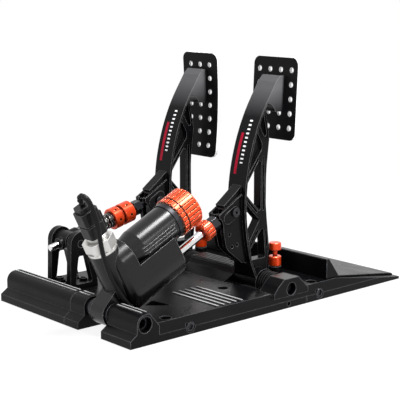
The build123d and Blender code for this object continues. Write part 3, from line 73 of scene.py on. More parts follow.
# Frames of the two struts: the clevis pin, the way from it towards the nose, and
# the way square to that, upwards
RIGHT = np.array([1.0, 0.0, 0.0])
BRAKE_PIN = np.array([-0.0505, 0.0158, 0.0946])
BRAKE_ALONG = np.array([0.0, 0.90060654, -0.43463505])
BRAKE_UP = np.cross(RIGHT, BRAKE_ALONG)
THROTTLE_PIN = np.array([0.067, 0.0175, 0.0905])
THROTTLE_ALONG = np.array([0.0, 0.97098444, -0.23914197])
THROTTLE_UP = np.cross(RIGHT, THROTTLE_ALONG)


# Mesh helpers
def strip_faces(index, ring=True):
    """Faces between neighbouring points of a grid of point numbers.

    Where ring is set, each row closes on itself.
    """
    if ring:
        index = np.concatenate([index, index[:, :1]], axis=1)
    corners = index[:-1, :-1], index[:-1, 1:], index[1:, 1:], index[1:, :-1]
    return np.stack(corners, axis=-1).reshape(-1, 4).tolist()


def new_piece(name, points, faces, smooth=True):
    """Object at the origin from points in place and faces of their numbers."""
    mesh = bpy.data.meshes.new(name)
    mesh.from_pydata(points.reshape(-1, 3).tolist(), [], faces)
    mesh.polygons.foreach_set("use_smooth", [smooth] * len(mesh.polygons))
    mesh.update()
    piece = bpy.data.objects.new(name, mesh)
    scene.collection.objects.link(piece)
    return piece


def tube(name, path, radius, sides):
    """Round tube along a path, closed with a flat face at each end.

    A ring of points stands round each point of the path: the point, plus the
    radius times the cosine of the turn along side, plus the radius times the
    sine of the turn along the third way, which is square to path and side.
    The first side is square to the path and to RIGHT. Each later one is the
    side before it less its part along the path, so the tube doesn't twist.
    That step is a matrix, one less the path's way times itself, and the
    matrices are multiplied up by doubling the stretch that each one covers.
    The radius is one value, or one for each point of the path.
    """
    step = np.gradient(path, axis=0)
    ahead = step / np.linalg.norm(step, axis=1, keepdims=True)
    carry = np.eye(3) - ahead[:, :, None] * ahead[:, None, :]
    stretch = 1
    while stretch < len(path):
        carry[stretch:] = carry[stretch:] @ carry[:-stretch]
        stretch *= 2
    side = carry @ np.cross(ahead[0], RIGHT)
    side = side / np.linalg.norm(side, axis=1, keepdims=True)
    third = np.cross(ahead, side)
    turn = np.linspace(0.0, 2.0 * np.pi, sides, endpoint=False)[None, :, None]
    reach = np.broadcast_to(radius, (len(path),))[:, None, None]
    points = path[:, None] + reach * (np.cos(turn) * side[:, None] + np.sin(turn) * third[:, None])
    index = np.arange(len(path) * sides).reshape(len(path), sides)
    faces = strip_faces(index) + [index[0, ::-1].tolist(), index[-1].tolist()]
    return new_piece(name, points, faces)


WELD_REACH = 1e-6


def weld(piece):
    """Join points that lie together, and turn every face outwards."""
    shell = bmesh.new()
    shell.from_mesh(piece.data)
    bmesh.ops.remove_doubles(shell, verts=shell.verts, dist=WELD_REACH)
    bmesh.ops.recalc_face_normals(shell, faces=shell.faces)
    shell.to_mesh(piece.data)
    shell.free()
    return piece


# Node helpers
def node(tree, kind, **settings):
    """New node in a tree; settings are its own attributes."""
    made = tree.nodes.new("ShaderNode" + kind)
    for key, value in settings.items():
        setattr(made, key, value)
    return made


def feed(tree, socket, value):
    """Give a socket a number, a vector or another node's output."""
    if isinstance(value, bpy.types.NodeSocket):
        tree.links.new(value, socket)
    else:
        socket.default_value = value


def maths(tree, operation, first, second=0.0, clamp=False):
    """Math node of one or two sockets or numbers."""
    made = node(tree, "Math", operation=operation, use_clamp=clamp)
    feed(tree, made.inputs[0], first)
    feed(tree, made.inputs[1], second)
    return made.outputs[0]


def all_of(tree, *masks):
    """Product of masks or shares, which holds where all of them hold."""
    joined = masks[0]
    for mask in masks[1:]:
        joined = maths(tree, "MULTIPLY", joined, mask)
    return joined


def between(tree, value, ends):
    """Mask of the values between two ends."""
    above = maths(tree, "GREATER_THAN", value, ends[0])
    return all_of(tree, above, maths(tree, "LESS_THAN", value, ends[1]))


def graded(tree, value, span, reach):
    """Value between the ends of a span, taken to between the ends of a reach."""
    made = node(tree, "MapRange")
    for label, number in zip(("From Min", "From Max", "To Min", "To Max"), (*span, *reach)):
        made.inputs[label].default_value = number
    tree.links.new(value, made.inputs["Value"])
    return made.outputs["Result"]


def paint_over(tree, mask, under, over):
    """One colour under another, after a mask; each is a socket or three numbers."""
    made = node(tree, "Mix", data_type="RGBA")
    feed(tree, made.inputs[0], mask)
    for socket, color in ((made.inputs[6], under), (made.inputs[7], over)):
        feed(tree, socket, (*color, 1.0) if isinstance(color, tuple) else color)
    return made.outputs[2]


def parts(tree, vector):
    """The three parts of a vector, as sockets."""
    made = node(tree, "SeparateXYZ")
    tree.links.new(vector, made.inputs[0])
    return tuple(made.outputs)


def dot(tree, vector, way):
    """How far a vector goes along a way."""
    made = node(tree, "VectorMath", operation="DOT_PRODUCT")
    tree.links.new(vector, made.inputs[0])
    feed(tree, made.inputs[1], way)
    return made.outputs["Value"]


def object_place(tree):
    """Place on the object, as a socket."""
    return node(tree, "TexCoord").outputs["Object"]


def face_way(tree):
    """Parts of the way that the face itself looks."""
    return parts(tree, node(tree, "NewGeometry").outputs["True Normal"])


def new_group(name, inputs, outputs):
    """Empty node group with named numbers going in, and named outputs."""
    group = bpy.data.node_groups.new(name, "ShaderNodeTree")
    for label, value in inputs.items():
        socket = group.interface.new_socket(label, in_out="INPUT", socket_type="NodeSocketFloat")
        socket.default_value = value
    for label, kind in outputs.items():
        group.interface.new_socket(label, in_out="OUTPUT", socket_type="NodeSocket" + kind)
    given = group.nodes.new("NodeGroupInput").outputs
    wanted = group.nodes.new("NodeGroupOutput").inputs
    return group, given, wanted


def placed_group(tree, group, **numbers):
    """A shared effect in a material, with its numbers."""
    made = node(tree, "Group", node_tree=group)
    for label, number in numbers.items():
        made.inputs[label].default_value = number
    return made.outputs


# Shared effects
GRAIN_DETAIL = 3.0
CLOUD_DETAIL = 4.0
WEAR_AND_HIGHLIGHT_PATCHES = 160.0    # patches of rubbed paint and painted edge highlight in a metre
WEAR_AND_HIGHLIGHT_FLOOR = 0.25       # added to the patches, so that no edge is bare of rubbed paint and painted highlight
CORNER_DISTANCE = 0.003
CORNER_POWER = 3.0
SHADE_RAYS = 6          # of the rounded edge, and of the shade in corners


def fine_grain():
    """Height of a fine noise, and a slow cloud for gloss and tone."""
    group, given, wanted = new_group(
        "fine_grain", {"Scale": 900.0, "Cloud Scale": 22.0}, {"Height": "Float", "Cloud": "Float"}
    )
    spot = object_place(group)
    for label, detail, result in (
        ("Scale", GRAIN_DETAIL, "Height"), ("Cloud Scale", CLOUD_DETAIL, "Cloud")
    ):
        noise = node(group, "TexNoise")
        noise.inputs["Detail"].default_value = detail
        group.links.new(spot, noise.inputs["Vector"])
        group.links.new(given[label], noise.inputs["Scale"])
        group.links.new(noise.outputs["Fac"], wanted[result])
    return group


def edge_wear_and_highlight():
    """Rounded normal, a mask of rubbed and lit edges, and how open a corner lies.

    The mask grows where the rounded normal turns away from the face, times a
    patchy noise; the edge colour it lays is rubbed paint and a painted edge
    highlight. A corner is as open as the share of rays that leave it, to a
    power, and closed corners take a painted shade.
    """
    group, given, wanted = new_group(
        "edge_wear_and_highlight", {"Radius": 0.0006, "Gain": 6.0},
        {"Mask": "Float", "Painted Shade": "Float", "Normal": "Vector"},
    )
    soft_edge = node(group, "Bevel", samples=SHADE_RAYS)
    group.links.new(given["Radius"], soft_edge.inputs["Radius"])
    face = node(group, "NewGeometry").outputs["Normal"]
    lift = maths(group, "SUBTRACT", 1.0, dot(group, soft_edge.outputs[0], face))
    worn_and_lit = maths(group, "MULTIPLY", lift, given["Gain"], clamp=True)
    patchy = node(group, "TexNoise")
    patchy.inputs["Scale"].default_value = WEAR_AND_HIGHLIGHT_PATCHES
    group.links.new(object_place(group), patchy.inputs["Vector"])
    patches = maths(group, "ADD", patchy.outputs["Fac"], WEAR_AND_HIGHLIGHT_FLOOR, clamp=True)
    # Painted shade: closed corners darken the colour, after how open they lie
    corner = node(group, "AmbientOcclusion", samples=SHADE_RAYS)
    corner.inputs["Distance"].default_value = CORNER_DISTANCE
    group.links.new(all_of(group, worn_and_lit, patches), wanted["Mask"])
    group.links.new(maths(group, "POWER", corner.outputs["AO"], CORNER_POWER), wanted["Painted Shade"])
    group.links.new(soft_edge.outputs[0], wanted["Normal"])
    return group


grain = fine_grain()
wear_and_highlight = edge_wear_and_highlight()

# Marks that some finishes carry
FLAT_ENOUGH = 0.6       # a face that looks further along a way than this belongs to it
BARE_METAL = (0.78, 0.78, 0.77)

# Painted highlight on thin raised lines: its tone, and the box that holds them
COVER_LINE_GLINT = (0.42, {"ahead": (0.162, 0.176), "high": (0.02945, 0.0312)})
DECK_LINE_GLINT = (
    0.34, {"across": (-0.099, -0.029), "ahead": (0.038, 0.078), "high": (0.01612, 0.0175)}
)

# The arms' band: its middle, its front line (ahead = foot - lean x high), the
# stripe and the ticks on it, and the painted highlight grey of the heads
BRAKE_X = -0.0505
THROTTLE_X = 0.067
BAND_FOOT = 0.0426
BAND_LEAN = 0.3134
STRIPE_BESIDE = (0.0035, 0.0072)
STRIPE_HIGH = (0.131, 0.172)
STRIPE_RED = (0.32, 0.003, 0.02)
TICKS_BESIDE = (-0.0035, 0.0005)
TICKS_HIGH = (0.142, 0.186)
TICKS_IN_A_METRE = 240.0
TICK_SHARE = 0.4
TICK_WHITE = (0.8, 0.8, 0.8)
HEAD_HIGH = (0.188, 0.216)
HEAD_HIGHLIGHT_GREY = (0.16, 0.16, 0.165)
HEAD_HIGHLIGHT_SHARE = 0.75
FLANK_WAY = 0.5
BAND_HIGHLIGHT_SHARE = 0.6   # of the flanks' painted highlight grey, on the faces that aren't flanks

# The load knob: its axis above the brake rod's, the grooves' reach from that
# axis, and their start from the pin
BARREL_OFFSET = 0.0358
GROOVE_RADIUS = 0.0201
GROOVE_START = 0.0452
GROOVE_BROWN = (0.04, 0.003, 0.001)


def bare_rim(tree, paint):
    """Bare pale metal on every face that doesn't look along the pad's thickness."""
    along = maths(tree, "ABSOLUTE", face_way(tree)[1])
    return paint_over(tree, maths(tree, "GREATER_THAN", along, FLAT_ENOUGH), BARE_METAL, paint)


def painted_line_glints(tree, paint):
    """Painted highlight: paler tops and flanks on the thin raised lines of the deck and the bar
    covers.
    """
    place = dict(zip(("across", "ahead", "high"), parts(tree, object_place(tree))))
    for tone, box in (COVER_LINE_GLINT, DECK_LINE_GLINT):
        mask = all_of(tree, *(between(tree, place[way], ends) for way, ends in box.items()))
        # Painted highlight on the lines
        paint = paint_over(tree, mask, paint, (tone, tone, tone))
    return paint


def band_marks(tree, paint):
    """Painted highlight grey heads, and a red stripe with short pale ticks down the front of each
    band.

    The stripe and the ticks lie on the faces that look forwards and stand
    ahead of the band's front line. Both lie between two heights, beside the
    band's middle, and the ticks come at even steps of height. The grey, a
    painted highlight, grows evenly between two heights, and is fullest on the flanks.
    """
    across, ahead, high = parts(tree, object_place(tree))
    side_way, front_way, _ = face_way(tree)
    beside = node(tree, "Mix", data_type="FLOAT")
    feed(tree, beside.inputs[0], maths(tree, "LESS_THAN", across, 0.0))
    feed(tree, beside.inputs[2], maths(tree, "SUBTRACT", across, THROTTLE_X))
    feed(tree, beside.inputs[3], maths(tree, "SUBTRACT", across, BRAKE_X))
    beside = beside.outputs[0]
    line = maths(tree, "SUBTRACT", BAND_FOOT, maths(tree, "MULTIPLY", high, BAND_LEAN))
    front = all_of(
        tree,
        maths(tree, "GREATER_THAN", front_way, FLAT_ENOUGH),
        maths(tree, "GREATER_THAN", ahead, line),
    )
    # Painted highlight: grey that grows towards the heads' tops, fullest on the flanks
    flank = maths(tree, "GREATER_THAN", maths(tree, "ABSOLUTE", side_way), FLANK_WAY)
    flank = graded(tree, flank, (0.0, 1.0), (BAND_HIGHLIGHT_SHARE, 1.0))
    climb = graded(tree, high, HEAD_HIGH, (0.0, HEAD_HIGHLIGHT_SHARE))
    paint = paint_over(tree, all_of(tree, climb, flank), paint, HEAD_HIGHLIGHT_GREY)
    stripe = all_of(
        tree, between(tree, beside, STRIPE_BESIDE), between(tree, high, STRIPE_HIGH), front
    )
    step = maths(tree, "FRACT", maths(tree, "MULTIPLY", high, TICKS_IN_A_METRE))
    ticks = all_of(
        tree, between(tree, beside, TICKS_BESIDE), between(tree, high, TICKS_HIGH),
        maths(tree, "LESS_THAN", step, TICK_SHARE), front,
    )
    paint = paint_over(tree, stripe, paint, STRIPE_RED)
    return paint_over(tree, ticks, paint, TICK_WHITE)


def groove_shadow(tree, paint):
    """Dark floors and walls in the load knob's grooves.

    They are the places nearer the barrel's axis than the knob's skin, past the
    rim that faces the driver. The distance is the root of the summed squares of
    the two ways square to the axis, and the squares are compared.
    """
    from_pin = node(tree, "VectorMath", operation="SUBTRACT")
    feed(tree, from_pin.inputs[0], object_place(tree))
    feed(tree, from_pin.inputs[1], BRAKE_PIN)
    from_pin = from_pin.outputs[0]
    across = dot(tree, from_pin, RIGHT)
    station = dot(tree, from_pin, BRAKE_ALONG)
    rise = maths(tree, "SUBTRACT", dot(tree, from_pin, BRAKE_UP), BARREL_OFFSET)
    across = maths(tree, "MULTIPLY", across, across)
    rise = maths(tree, "MULTIPLY", rise, rise)
    squares = maths(tree, "ADD", across, rise)
    inside = all_of(
        tree,
        maths(tree, "LESS_THAN", squares, GROOVE_RADIUS ** 2),
        maths(tree, "GREATER_THAN", station, GROOVE_START),
    )
    return paint_over(tree, inside, paint, GROOVE_BROWN)


# Finishes
TONE_SWING = 0.2        # share by which the colour drifts to either side
CLOUD_SPAN = (0.3, 0.7)  # of the slow noise, for the whole spread of the gloss
GLOSS_FLOOR = 0.02
BUMP_DISTANCE = 0.0003


def finish(
    name, color, rough, edge, metallic=0.0, edge_gain=6.0, radius=0.0006, shine=0.3,
    grain_scale=900.0, grain_depth=0.1, spread=0.1, corner_shade=0.35, marks=None,
):
    """Material with grain, uneven gloss, rounded lighter edges and painted corner shade.

    The colour drifts to either side with a slow noise, and goes towards the
    edge colour where the rounded edge turns away from the face: rubbed paint and
    a painted edge highlight. The roughness is the plain one plus or minus the
    spread, after the same noise. In corners the colour goes down to a given
    share of itself, a painted shade. marks is a function that may lay more
    colour over it.
    """
    made = bpy.data.materials.new(name)
    made.use_nodes = True
    tree = made.node_tree
    shader = tree.nodes["Principled BSDF"]
    shader.inputs["Metallic"].default_value = metallic
    shader.inputs["Specular IOR Level"].default_value = shine
    grained = placed_group(tree, grain, Scale=grain_scale)
    worn_and_lit = placed_group(tree, wear_and_highlight, Radius=radius, Gain=edge_gain)
    darker = tuple(c * (1.0 - TONE_SWING) for c in color)
    lighter = tuple(min(c * (1.0 + TONE_SWING), 1.0) for c in color)
    paint = paint_over(tree, grained["Cloud"], darker, lighter)
    if marks:
        paint = marks(tree, paint)
    # Rubbed paint and painted edge highlight: the lighter edge colour
    paint = paint_over(tree, worn_and_lit["Mask"], paint, edge)
    # Painted shade: the colour darkens in closed corners
    paint = paint_over(tree, worn_and_lit["Painted Shade"], tuple(c * corner_shade for c in color), paint)
    gloss = graded(
        tree, grained["Cloud"], CLOUD_SPAN, (max(rough - spread, GLOSS_FLOOR), rough + spread)
    )
    bump = node(tree, "Bump")
    bump.inputs["Strength"].default_value = grain_depth
    bump.inputs["Distance"].default_value = BUMP_DISTANCE
    tree.links.new(grained["Height"], bump.inputs["Height"])
    tree.links.new(worn_and_lit["Normal"], bump.inputs["Normal"])
    tree.links.new(paint, shader.inputs["Base Color"])
    tree.links.new(gloss, shader.inputs["Roughness"])
    tree.links.new(bump.outputs[0], shader.inputs["Normal"])
    return made


# edge is the colour of rubbed paint and painted highlight on the edges
FINISHES = {
    "black_casting": dict(
        color=(0.0022, 0.0022, 0.0026), rough=0.3, edge=(0.13, 0.13, 0.135), shine=0.1,
        grain_scale=1500.0, grain_depth=0.2, spread=0.08, radius=0.0014, marks=painted_line_glints,
    ),
    "cover_strip": dict(
        color=(0.0022, 0.0022, 0.0026), rough=0.3, edge=(0.16, 0.16, 0.16), shine=0.1,
        grain_scale=1200.0, grain_depth=0.12, radius=0.0009,
    ),
    "arm_black": dict(
        color=(0.0025, 0.0025, 0.003), rough=0.26, edge=(0.24, 0.24, 0.24), shine=0.1,
        grain_scale=1600.0, grain_depth=0.14, spread=0.05, edge_gain=5.0, radius=0.0008,
        marks=band_marks,
    ),
    "pad_black": dict(
        color=(0.004, 0.004, 0.0045), rough=0.4, edge=(0.3, 0.3, 0.3), shine=0.08,
        grain_scale=1500.0, grain_depth=0.15, edge_gain=3.0, radius=0.0004, corner_shade=1.0,
        marks=bare_rim,
    ),
    "bracket_black": dict(
        color=(0.003, 0.003, 0.0034), rough=0.32, edge=(0.16, 0.16, 0.16), shine=0.1,
        grain_scale=1200.0, grain_depth=0.15, radius=0.0009,
    ),
    "rubber_black": dict(
        color=(0.006, 0.006, 0.006), rough=0.4, edge=(0.05, 0.05, 0.05), shine=0.12,
        grain_scale=700.0, grain_depth=0.15,
    ),
    "cable_sheath": dict(
        color=(0.005, 0.005, 0.005), rough=0.36, edge=(0.02, 0.02, 0.02), shine=0.12,
        grain_scale=500.0, corner_shade=1.0,
    ),
    "plug_plastic": dict(
        color=(0.007, 0.007, 0.0075), rough=0.3, edge=(0.14, 0.14, 0.14), shine=0.14,
        grain_scale=1100.0, radius=0.0008, edge_gain=7.0,
    ),
    "cylinder_black": dict(
        color=(0.004, 0.004, 0.0045), rough=0.25, edge=(0.3, 0.3, 0.3), grain_scale=2600.0,
        grain_depth=0.01, spread=0.01, radius=0.0005, edge_gain=8.0,
    ),
    "orange_anodised": dict(
        color=(0.72, 0.05, 0.005), rough=0.24, edge=(1.0, 0.38, 0.16), metallic=0.45, shine=0.5,
        grain_scale=1500.0, grain_depth=0.04, spread=0.04, corner_shade=0.06, marks=groove_shadow,
    ),
    "polished_steel": dict(
        color=(0.72, 0.71, 0.71), rough=0.1, edge=(0.9, 0.9, 0.9), metallic=1.0,
        grain_scale=800.0, grain_depth=0.02, spread=0.03, corner_shade=0.2,
    ),
    "bright_steel": dict(
        color=(0.66, 0.65, 0.63), rough=0.36, edge=(0.9, 0.9, 0.9), metallic=1.0,
        grain_scale=1200.0, grain_depth=0.12, spread=0.06, corner_shade=0.3,
    ),
    "dark_steel": dict(
        color=(0.02, 0.02, 0.023), rough=0.28, edge=(0.16, 0.16, 0.17), metallic=0.5,
        grain_scale=1200.0, grain_depth=0.06,
    ),
    "bronze": dict(color=(0.5, 0.33, 0.14), rough=0.3, edge=(0.8, 0.6, 0.3), metallic=1.0),
    "elastomer": dict(color=(0.04, 0.04, 0.04), rough=0.7, edge=(0.06, 0.06, 0.06)),
    "spring_steel": dict(
        color=(0.16, 0.155, 0.15), rough=0.25, edge=(0.3, 0.3, 0.3), metallic=1.0,
        grain_scale=2000.0, grain_depth=0.05, corner_shade=0.3,
    ),
}
materials = {name: finish(name, **look) for name, look in FINISHES.items()}
for name, piece in nodes.items():
    if not piece.material_slots:
        piece.data.materials.append(None)
    for place in piece.material_slots:
        place.material = materials[slots[name]]


def dress(piece, body, stands_for, look=None):
    """Material, slot and body of a piece that takes the place of a solid.

    Its slot is the solid's, and so is its finish, unless look names another.
    """
    slot = slots[stands_for]
    piece.data.materials.append(materials[look or slot])
    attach(piece, body)
    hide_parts(stands_for)


# Sensor cable, from its boot down beside the cylinder to the ring in the deck
CABLE_RADIUS = 0.0022
CABLE_BEVEL = 6         # bevel resolution, which makes 16 sides
CABLE_STEPS = 16        # between two points of its route
CABLE_ROUTE = [
    (-0.0645, 0.19655, 0.12401),
    (-0.0645, 0.19135, 0.11325),
    (-0.0665, 0.1900, 0.0960),
    (-0.0670, 0.1876, 0.0820),
    (-0.0670, 0.1835, 0.0685),
    (-0.0670, 0.1772, 0.0535),
    (-0.0666, 0.1680, 0.0395),
    (-0.0663, 0.1582, 0.0278),
    (-0.0665, 0.1505, 0.0187),
]


def sensor_cable():
    """Round cord on a smooth curve between the route's ends, led by its points."""
    curve = bpy.data.curves.new("sensor_lead", "CURVE")
    curve.dimensions = "3D"
    curve.bevel_depth = CABLE_RADIUS
    curve.bevel_resolution = CABLE_BEVEL
    curve.resolution_u = CABLE_STEPS
    curve.use_fill_caps = True
    spline = curve.splines.new("NURBS")
    spline.points.add(len(CABLE_ROUTE) - 1)
    for point, place in zip(spline.points, CABLE_ROUTE):
        point.co = (*place, 1.0)
    spline.order_u = 3
    spline.use_endpoint_u = True
    cord = bpy.data.objects.new("sensor_lead", curve)
    scene.collection.objects.link(cord)
    return cord


lead = sensor_cable()
dress(lead, "brake_unit", "sensor_cable")

# Cable boot: up out of the plug, over in a half circle and down to the cable
SENSOR_STATION = 0.150  # the plug's middle, from the pin along the strut
BOOT_FOOT = 0.1051      # height of the plug's cap above the rod's line
BOOT_STUB = 0.004
BOOT_BEND = 0.007
BOOT_RADIUS = 0.0031
BOOT_TIP_RADIUS = CABLE_RADIUS * 1.06  # a little wider than the cable
BOOT_TAPER = (0.3, 0.8)  # shares of the arch between which it thins
BOOT_RIBS = 8
BOOT_RIB_SHARE = 0.62   # how far along the arch the ribs go
BOOT_RIB_FADE = 0.05
BOOT_RIB_DEPTH = 0.36   # share of the radius
BOOT_SIDES = 32
STUB_STEPS = 16
BEND_STEPS = 90


def ribbed_boot():
    """Ribbed boot on an arch of two stubs and half a circle.

    In the half circle the height is the bend times the sine of the swing, and
    the way aside is the bend less the bend times its cosine. The radius thins
    evenly from the boot's own to the cable's. The ribs are the square root of a
    raised cosine along the arch, and they fade out at the share BOOT_RIB_SHARE.
    """
    foot = BRAKE_PIN + BRAKE_ALONG * SENSOR_STATION + BRAKE_UP * BOOT_FOOT
    rise = np.linspace(0.0, BOOT_STUB, STUB_STEPS, endpoint=False)
    fall = np.linspace(BOOT_STUB, 0.0, STUB_STEPS)[1:]
    swing = np.linspace(0.0, np.pi, BEND_STEPS)
    up = np.concatenate([rise, BOOT_STUB + BOOT_BEND * np.sin(swing), fall])
    aside = np.concatenate([
        np.zeros_like(rise), BOOT_BEND * (1.0 - np.cos(swing)), np.full_like(fall, 2 * BOOT_BEND)
    ])
    arch = foot + up[:, None] * BRAKE_UP - aside[:, None] * RIGHT
    share = np.linspace(0.0, 1.0, len(arch))
    wave = 0.5 - 0.5 * np.cos(2.0 * np.pi * BOOT_RIBS * share)
    ribbed = np.clip((BOOT_RIB_SHARE - share) / BOOT_RIB_FADE, 0.0, 1.0)
    thin = np.interp(share, BOOT_TAPER, (BOOT_RADIUS, BOOT_TIP_RADIUS))
    radius = thin * (1.0 - BOOT_RIB_DEPTH * ribbed * (1.0 - np.sqrt(wave)))
    return tube("ribbed_boot", arch, radius, BOOT_SIDES)


boot = ribbed_boot()
dress(boot, "brake_unit", "cable_boot")

# Return spring round the throttle's strut
WIRE = 0.0009           # radius of the wire
COIL_RADIUS = 0.0073
COIL_START = 0.0622
COIL_END = 0.1042
COIL_TURNS = 11
COIL_STEPS = 24         # per turn
CLOSED_SHARE = 0.09     # share of the wire in the closed turns at each end
WIRE_SIDES = 10


def coil_spring():
    """Wire wound round the strut, with closed turns at both ends.

    Each point stands beside the strut's line, by the coil's radius times the
    cosine of the turn to the right and times its sine upwards. Its station
    climbs evenly between the closed ends, and within each of them by the wire's
    radius only.
    """
    share = np.linspace(0.0, 1.0, COIL_STEPS * COIL_TURNS + 1)
    climb = np.clip((share - CLOSED_SHARE) / (1.0 - 2.0 * CLOSED_SHARE), 0.0, 1.0)
    laid = np.clip(np.minimum(share, 1.0 - share) / CLOSED_SHARE, 0.0, 1.0)
    wires = np.where(share < 0.5, laid, 2.0 - laid)
    station = COIL_START + wires * WIRE + climb * (COIL_END - COIL_START - 2.0 * WIRE)
    turn = (2.0 * np.pi * COIL_TURNS * share)[:, None]
    outward = np.cos(turn) * RIGHT + np.sin(turn) * THROTTLE_UP
    path = THROTTLE_PIN + station[:, None] * THROTTLE_ALONG + COIL_RADIUS * outward
    return tube("coil_spring", path, WIRE, WIRE_SIDES)


spring = coil_spring()
dress(spring, "spring_pivot", "return_spring", "spring_steel")
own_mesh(spring)

# Throttle pad. The plate and its screws stand a little further to the left than
# the solids, and the plate is wider, as in the photograph.
PAD_MIDDLE = np.array([0.0632, -0.047, 0.1894])  # on the plate's nose side
PAD_TILT = radians(1.0)
PAD_UP = np.array([0.0, -np.sin(PAD_TILT), np.cos(PAD_TILT)])
PAD_OUT = np.cross(RIGHT, PAD_UP)       # towards the driver
PAD_SIZE = np.array([0.0560, 0.1134])
PAD_THICK = 0.0032
PAD_BOW = 0.003
PAD_CORNER = 0.008
PAD_HOLE_RADIUS = 0.00275
PAD_HOLES = np.array([3, 7])            # across and up
PAD_PITCH = np.array([0.0152, 0.0147])
PAD_TURN_STEP = 7.5     # degrees between the rays round a hole or a screw
SCREW_ROWS = (4, 5)     # counted from 0 at the plate's foot
SCREW_HEAD = 0.0043
SCREW_HEAD_TOP = 0.0026
SCREW_CHAMFER = 0.0003
SCREW_SOCKET = 0.003
SCREW_SOCKET_FLOOR = 0.0011
SCREW_SHANK = 0.0025
SCREW_TIP = -0.0078


def pad_place(flat, depth):
    """Points across and up the plate, laid on its bow.

    The bow is an arc of a circle that drops PAD_BOW at the plate's ends, and
    the depth is counted from it towards the driver.
    """
    arc = ((PAD_SIZE[1] / 2) ** 2 + PAD_BOW ** 2) / (2 * PAD_BOW)
    drop = arc - np.sqrt(arc ** 2 - flat[..., 1] ** 2)
    aside = flat[..., :1] * RIGHT + flat[..., 1:] * PAD_UP
    return PAD_MIDDLE + aside + (depth - drop)[..., None] * PAD_OUT


def pad_rays():
    """Turns round a hole or a screw, in radians."""
    return np.radians(np.arange(0.0, 360.0, PAD_TURN_STEP))


def grid_places(axis):
    """Places of the holes across the plate (0) or up it (1)."""
    return (np.arange(PAD_HOLES[axis]) - (PAD_HOLES[axis] - 1) / 2) * PAD_PITCH[axis]


def rounded(outline, half, corner):
    """Points of a rectangle's outline, with those near a corner drawn in to its arc.

    A point that lies past the arc's middle both ways moves towards that middle,
    to the corner's radius from it.
    """
    over = np.maximum(np.abs(outline) - (half - corner), 0.0)
    reach = np.linalg.norm(over, axis=-1, keepdims=True)
    both = (over > 0).all(-1, keepdims=True)
    drawn = over * np.where(both, corner / np.maximum(reach, corner), 1.0)
    return np.sign(outline) * (np.abs(outline) - over + drawn)


def drilled_plate():
    """Plate with a grid of round holes, closed all round.

    Round each hole, rays run from the rim to a cell of the grid. Round all
    the cells, rays run from the border of the grid to the plate's outline,
    which is a rectangle whose corners are drawn in to arcs. Each ring of rays
    is laid on both faces and closed by the walls of the hole or the outline.
    """
    turn = pad_rays()
    ray = np.stack([np.cos(turn), np.sin(turn)], -1)
    square = ray / np.abs(ray).max(-1, keepdims=True) * PAD_PITCH / 2
    across, up = grid_places(0), grid_places(1)
    rings = [
        (square + (x, z), ray * PAD_HOLE_RADIUS + (x, z)) for x in across for z in up
    ]
    steps = np.tan(np.radians(np.arange(-45.0, 45.0, PAD_TURN_STEP)))
    run = (across[:, None] + steps * PAD_PITCH[0] / 2).ravel()
    rise = (up[:, None] + steps * PAD_PITCH[1] / 2).ravel()
    block = PAD_PITCH * PAD_HOLES / 2
    border = np.concatenate([
        np.stack([np.full_like(rise, block[0]), rise], -1),
        np.stack([-run, np.full_like(run, block[1])], -1),
        np.stack([np.full_like(rise, -block[0]), -rise], -1),
        np.stack([run, np.full_like(run, -block[1])], -1),
    ])
    half = PAD_SIZE / 2
    rings.append((border, rounded(border / block * half, half, PAD_CORNER)))
    depth = np.array([0.0, 0.0, PAD_THICK, PAD_THICK])[:, None]
    points, faces, first = [], [], 0
    for inner, outer in rings:
        flat = np.stack([inner, outer, outer, inner])
        index = first + np.arange(flat[..., 0].size).reshape(flat.shape[:2])
        faces += strip_faces(index)
        points.append(pad_place(flat, depth).reshape(-1, 3))
        first += index.size
    return weld(new_piece("throttle_plate", np.concatenate(points), faces, smooth=False))


def cap_screws():
    """Cap screws in the middle column, in the rows SCREW_ROWS.

    Each is a profile turned round its axis, from the floor of the hexagonal
    socket up its wall, over the chamfered head and down the shank. In the
    socket the radius follows a hexagon: the distance to a flat over the
    cosine of the angle from its middle.
    """
    turn = pad_rays()
    round_way = np.ones_like(turn)
    six = 1.0 / np.cos(np.mod(turn, np.pi / 3) - np.pi / 6)
    profile = (
        (0.0, SCREW_SOCKET_FLOOR, six),
        (SCREW_SOCKET, SCREW_SOCKET_FLOOR, six),
        (SCREW_SOCKET, SCREW_HEAD_TOP, six),
        (SCREW_HEAD - SCREW_CHAMFER, SCREW_HEAD_TOP, round_way),
        (SCREW_HEAD, SCREW_HEAD_TOP - SCREW_CHAMFER, round_way),
        (SCREW_HEAD, 0.0, round_way),
        (SCREW_SHANK, 0.0, round_way),
        (SCREW_SHANK, SCREW_TIP, round_way),
        (0.0, SCREW_TIP, round_way),
    )
    radius = np.stack([reach * shape for reach, _, shape in profile])[..., None]
    depth = np.array([height for _, height, _ in profile])[:, None, None]
    ring = np.cos(turn)[:, None] * RIGHT + np.sin(turn)[:, None] * PAD_UP
    screw = radius * ring + depth * PAD_OUT
    index = np.arange(radius.size).reshape(radius.shape[:2])
    points, faces = [], []
    for row in SCREW_ROWS:
        seat = np.array([0.0, grid_places(1)[row]])
        faces += strip_faces(index + index.size * len(points))
        points.append(pad_place(seat, np.array(PAD_THICK)) + screw)
    return weld(new_piece("plate_screws", np.stack(points), faces, smooth=False))


dress(drilled_plate(), "throttle_pedal", "throttle_pad")
dress(cap_screws(), "throttle_pedal", "throttle_pad_screws")

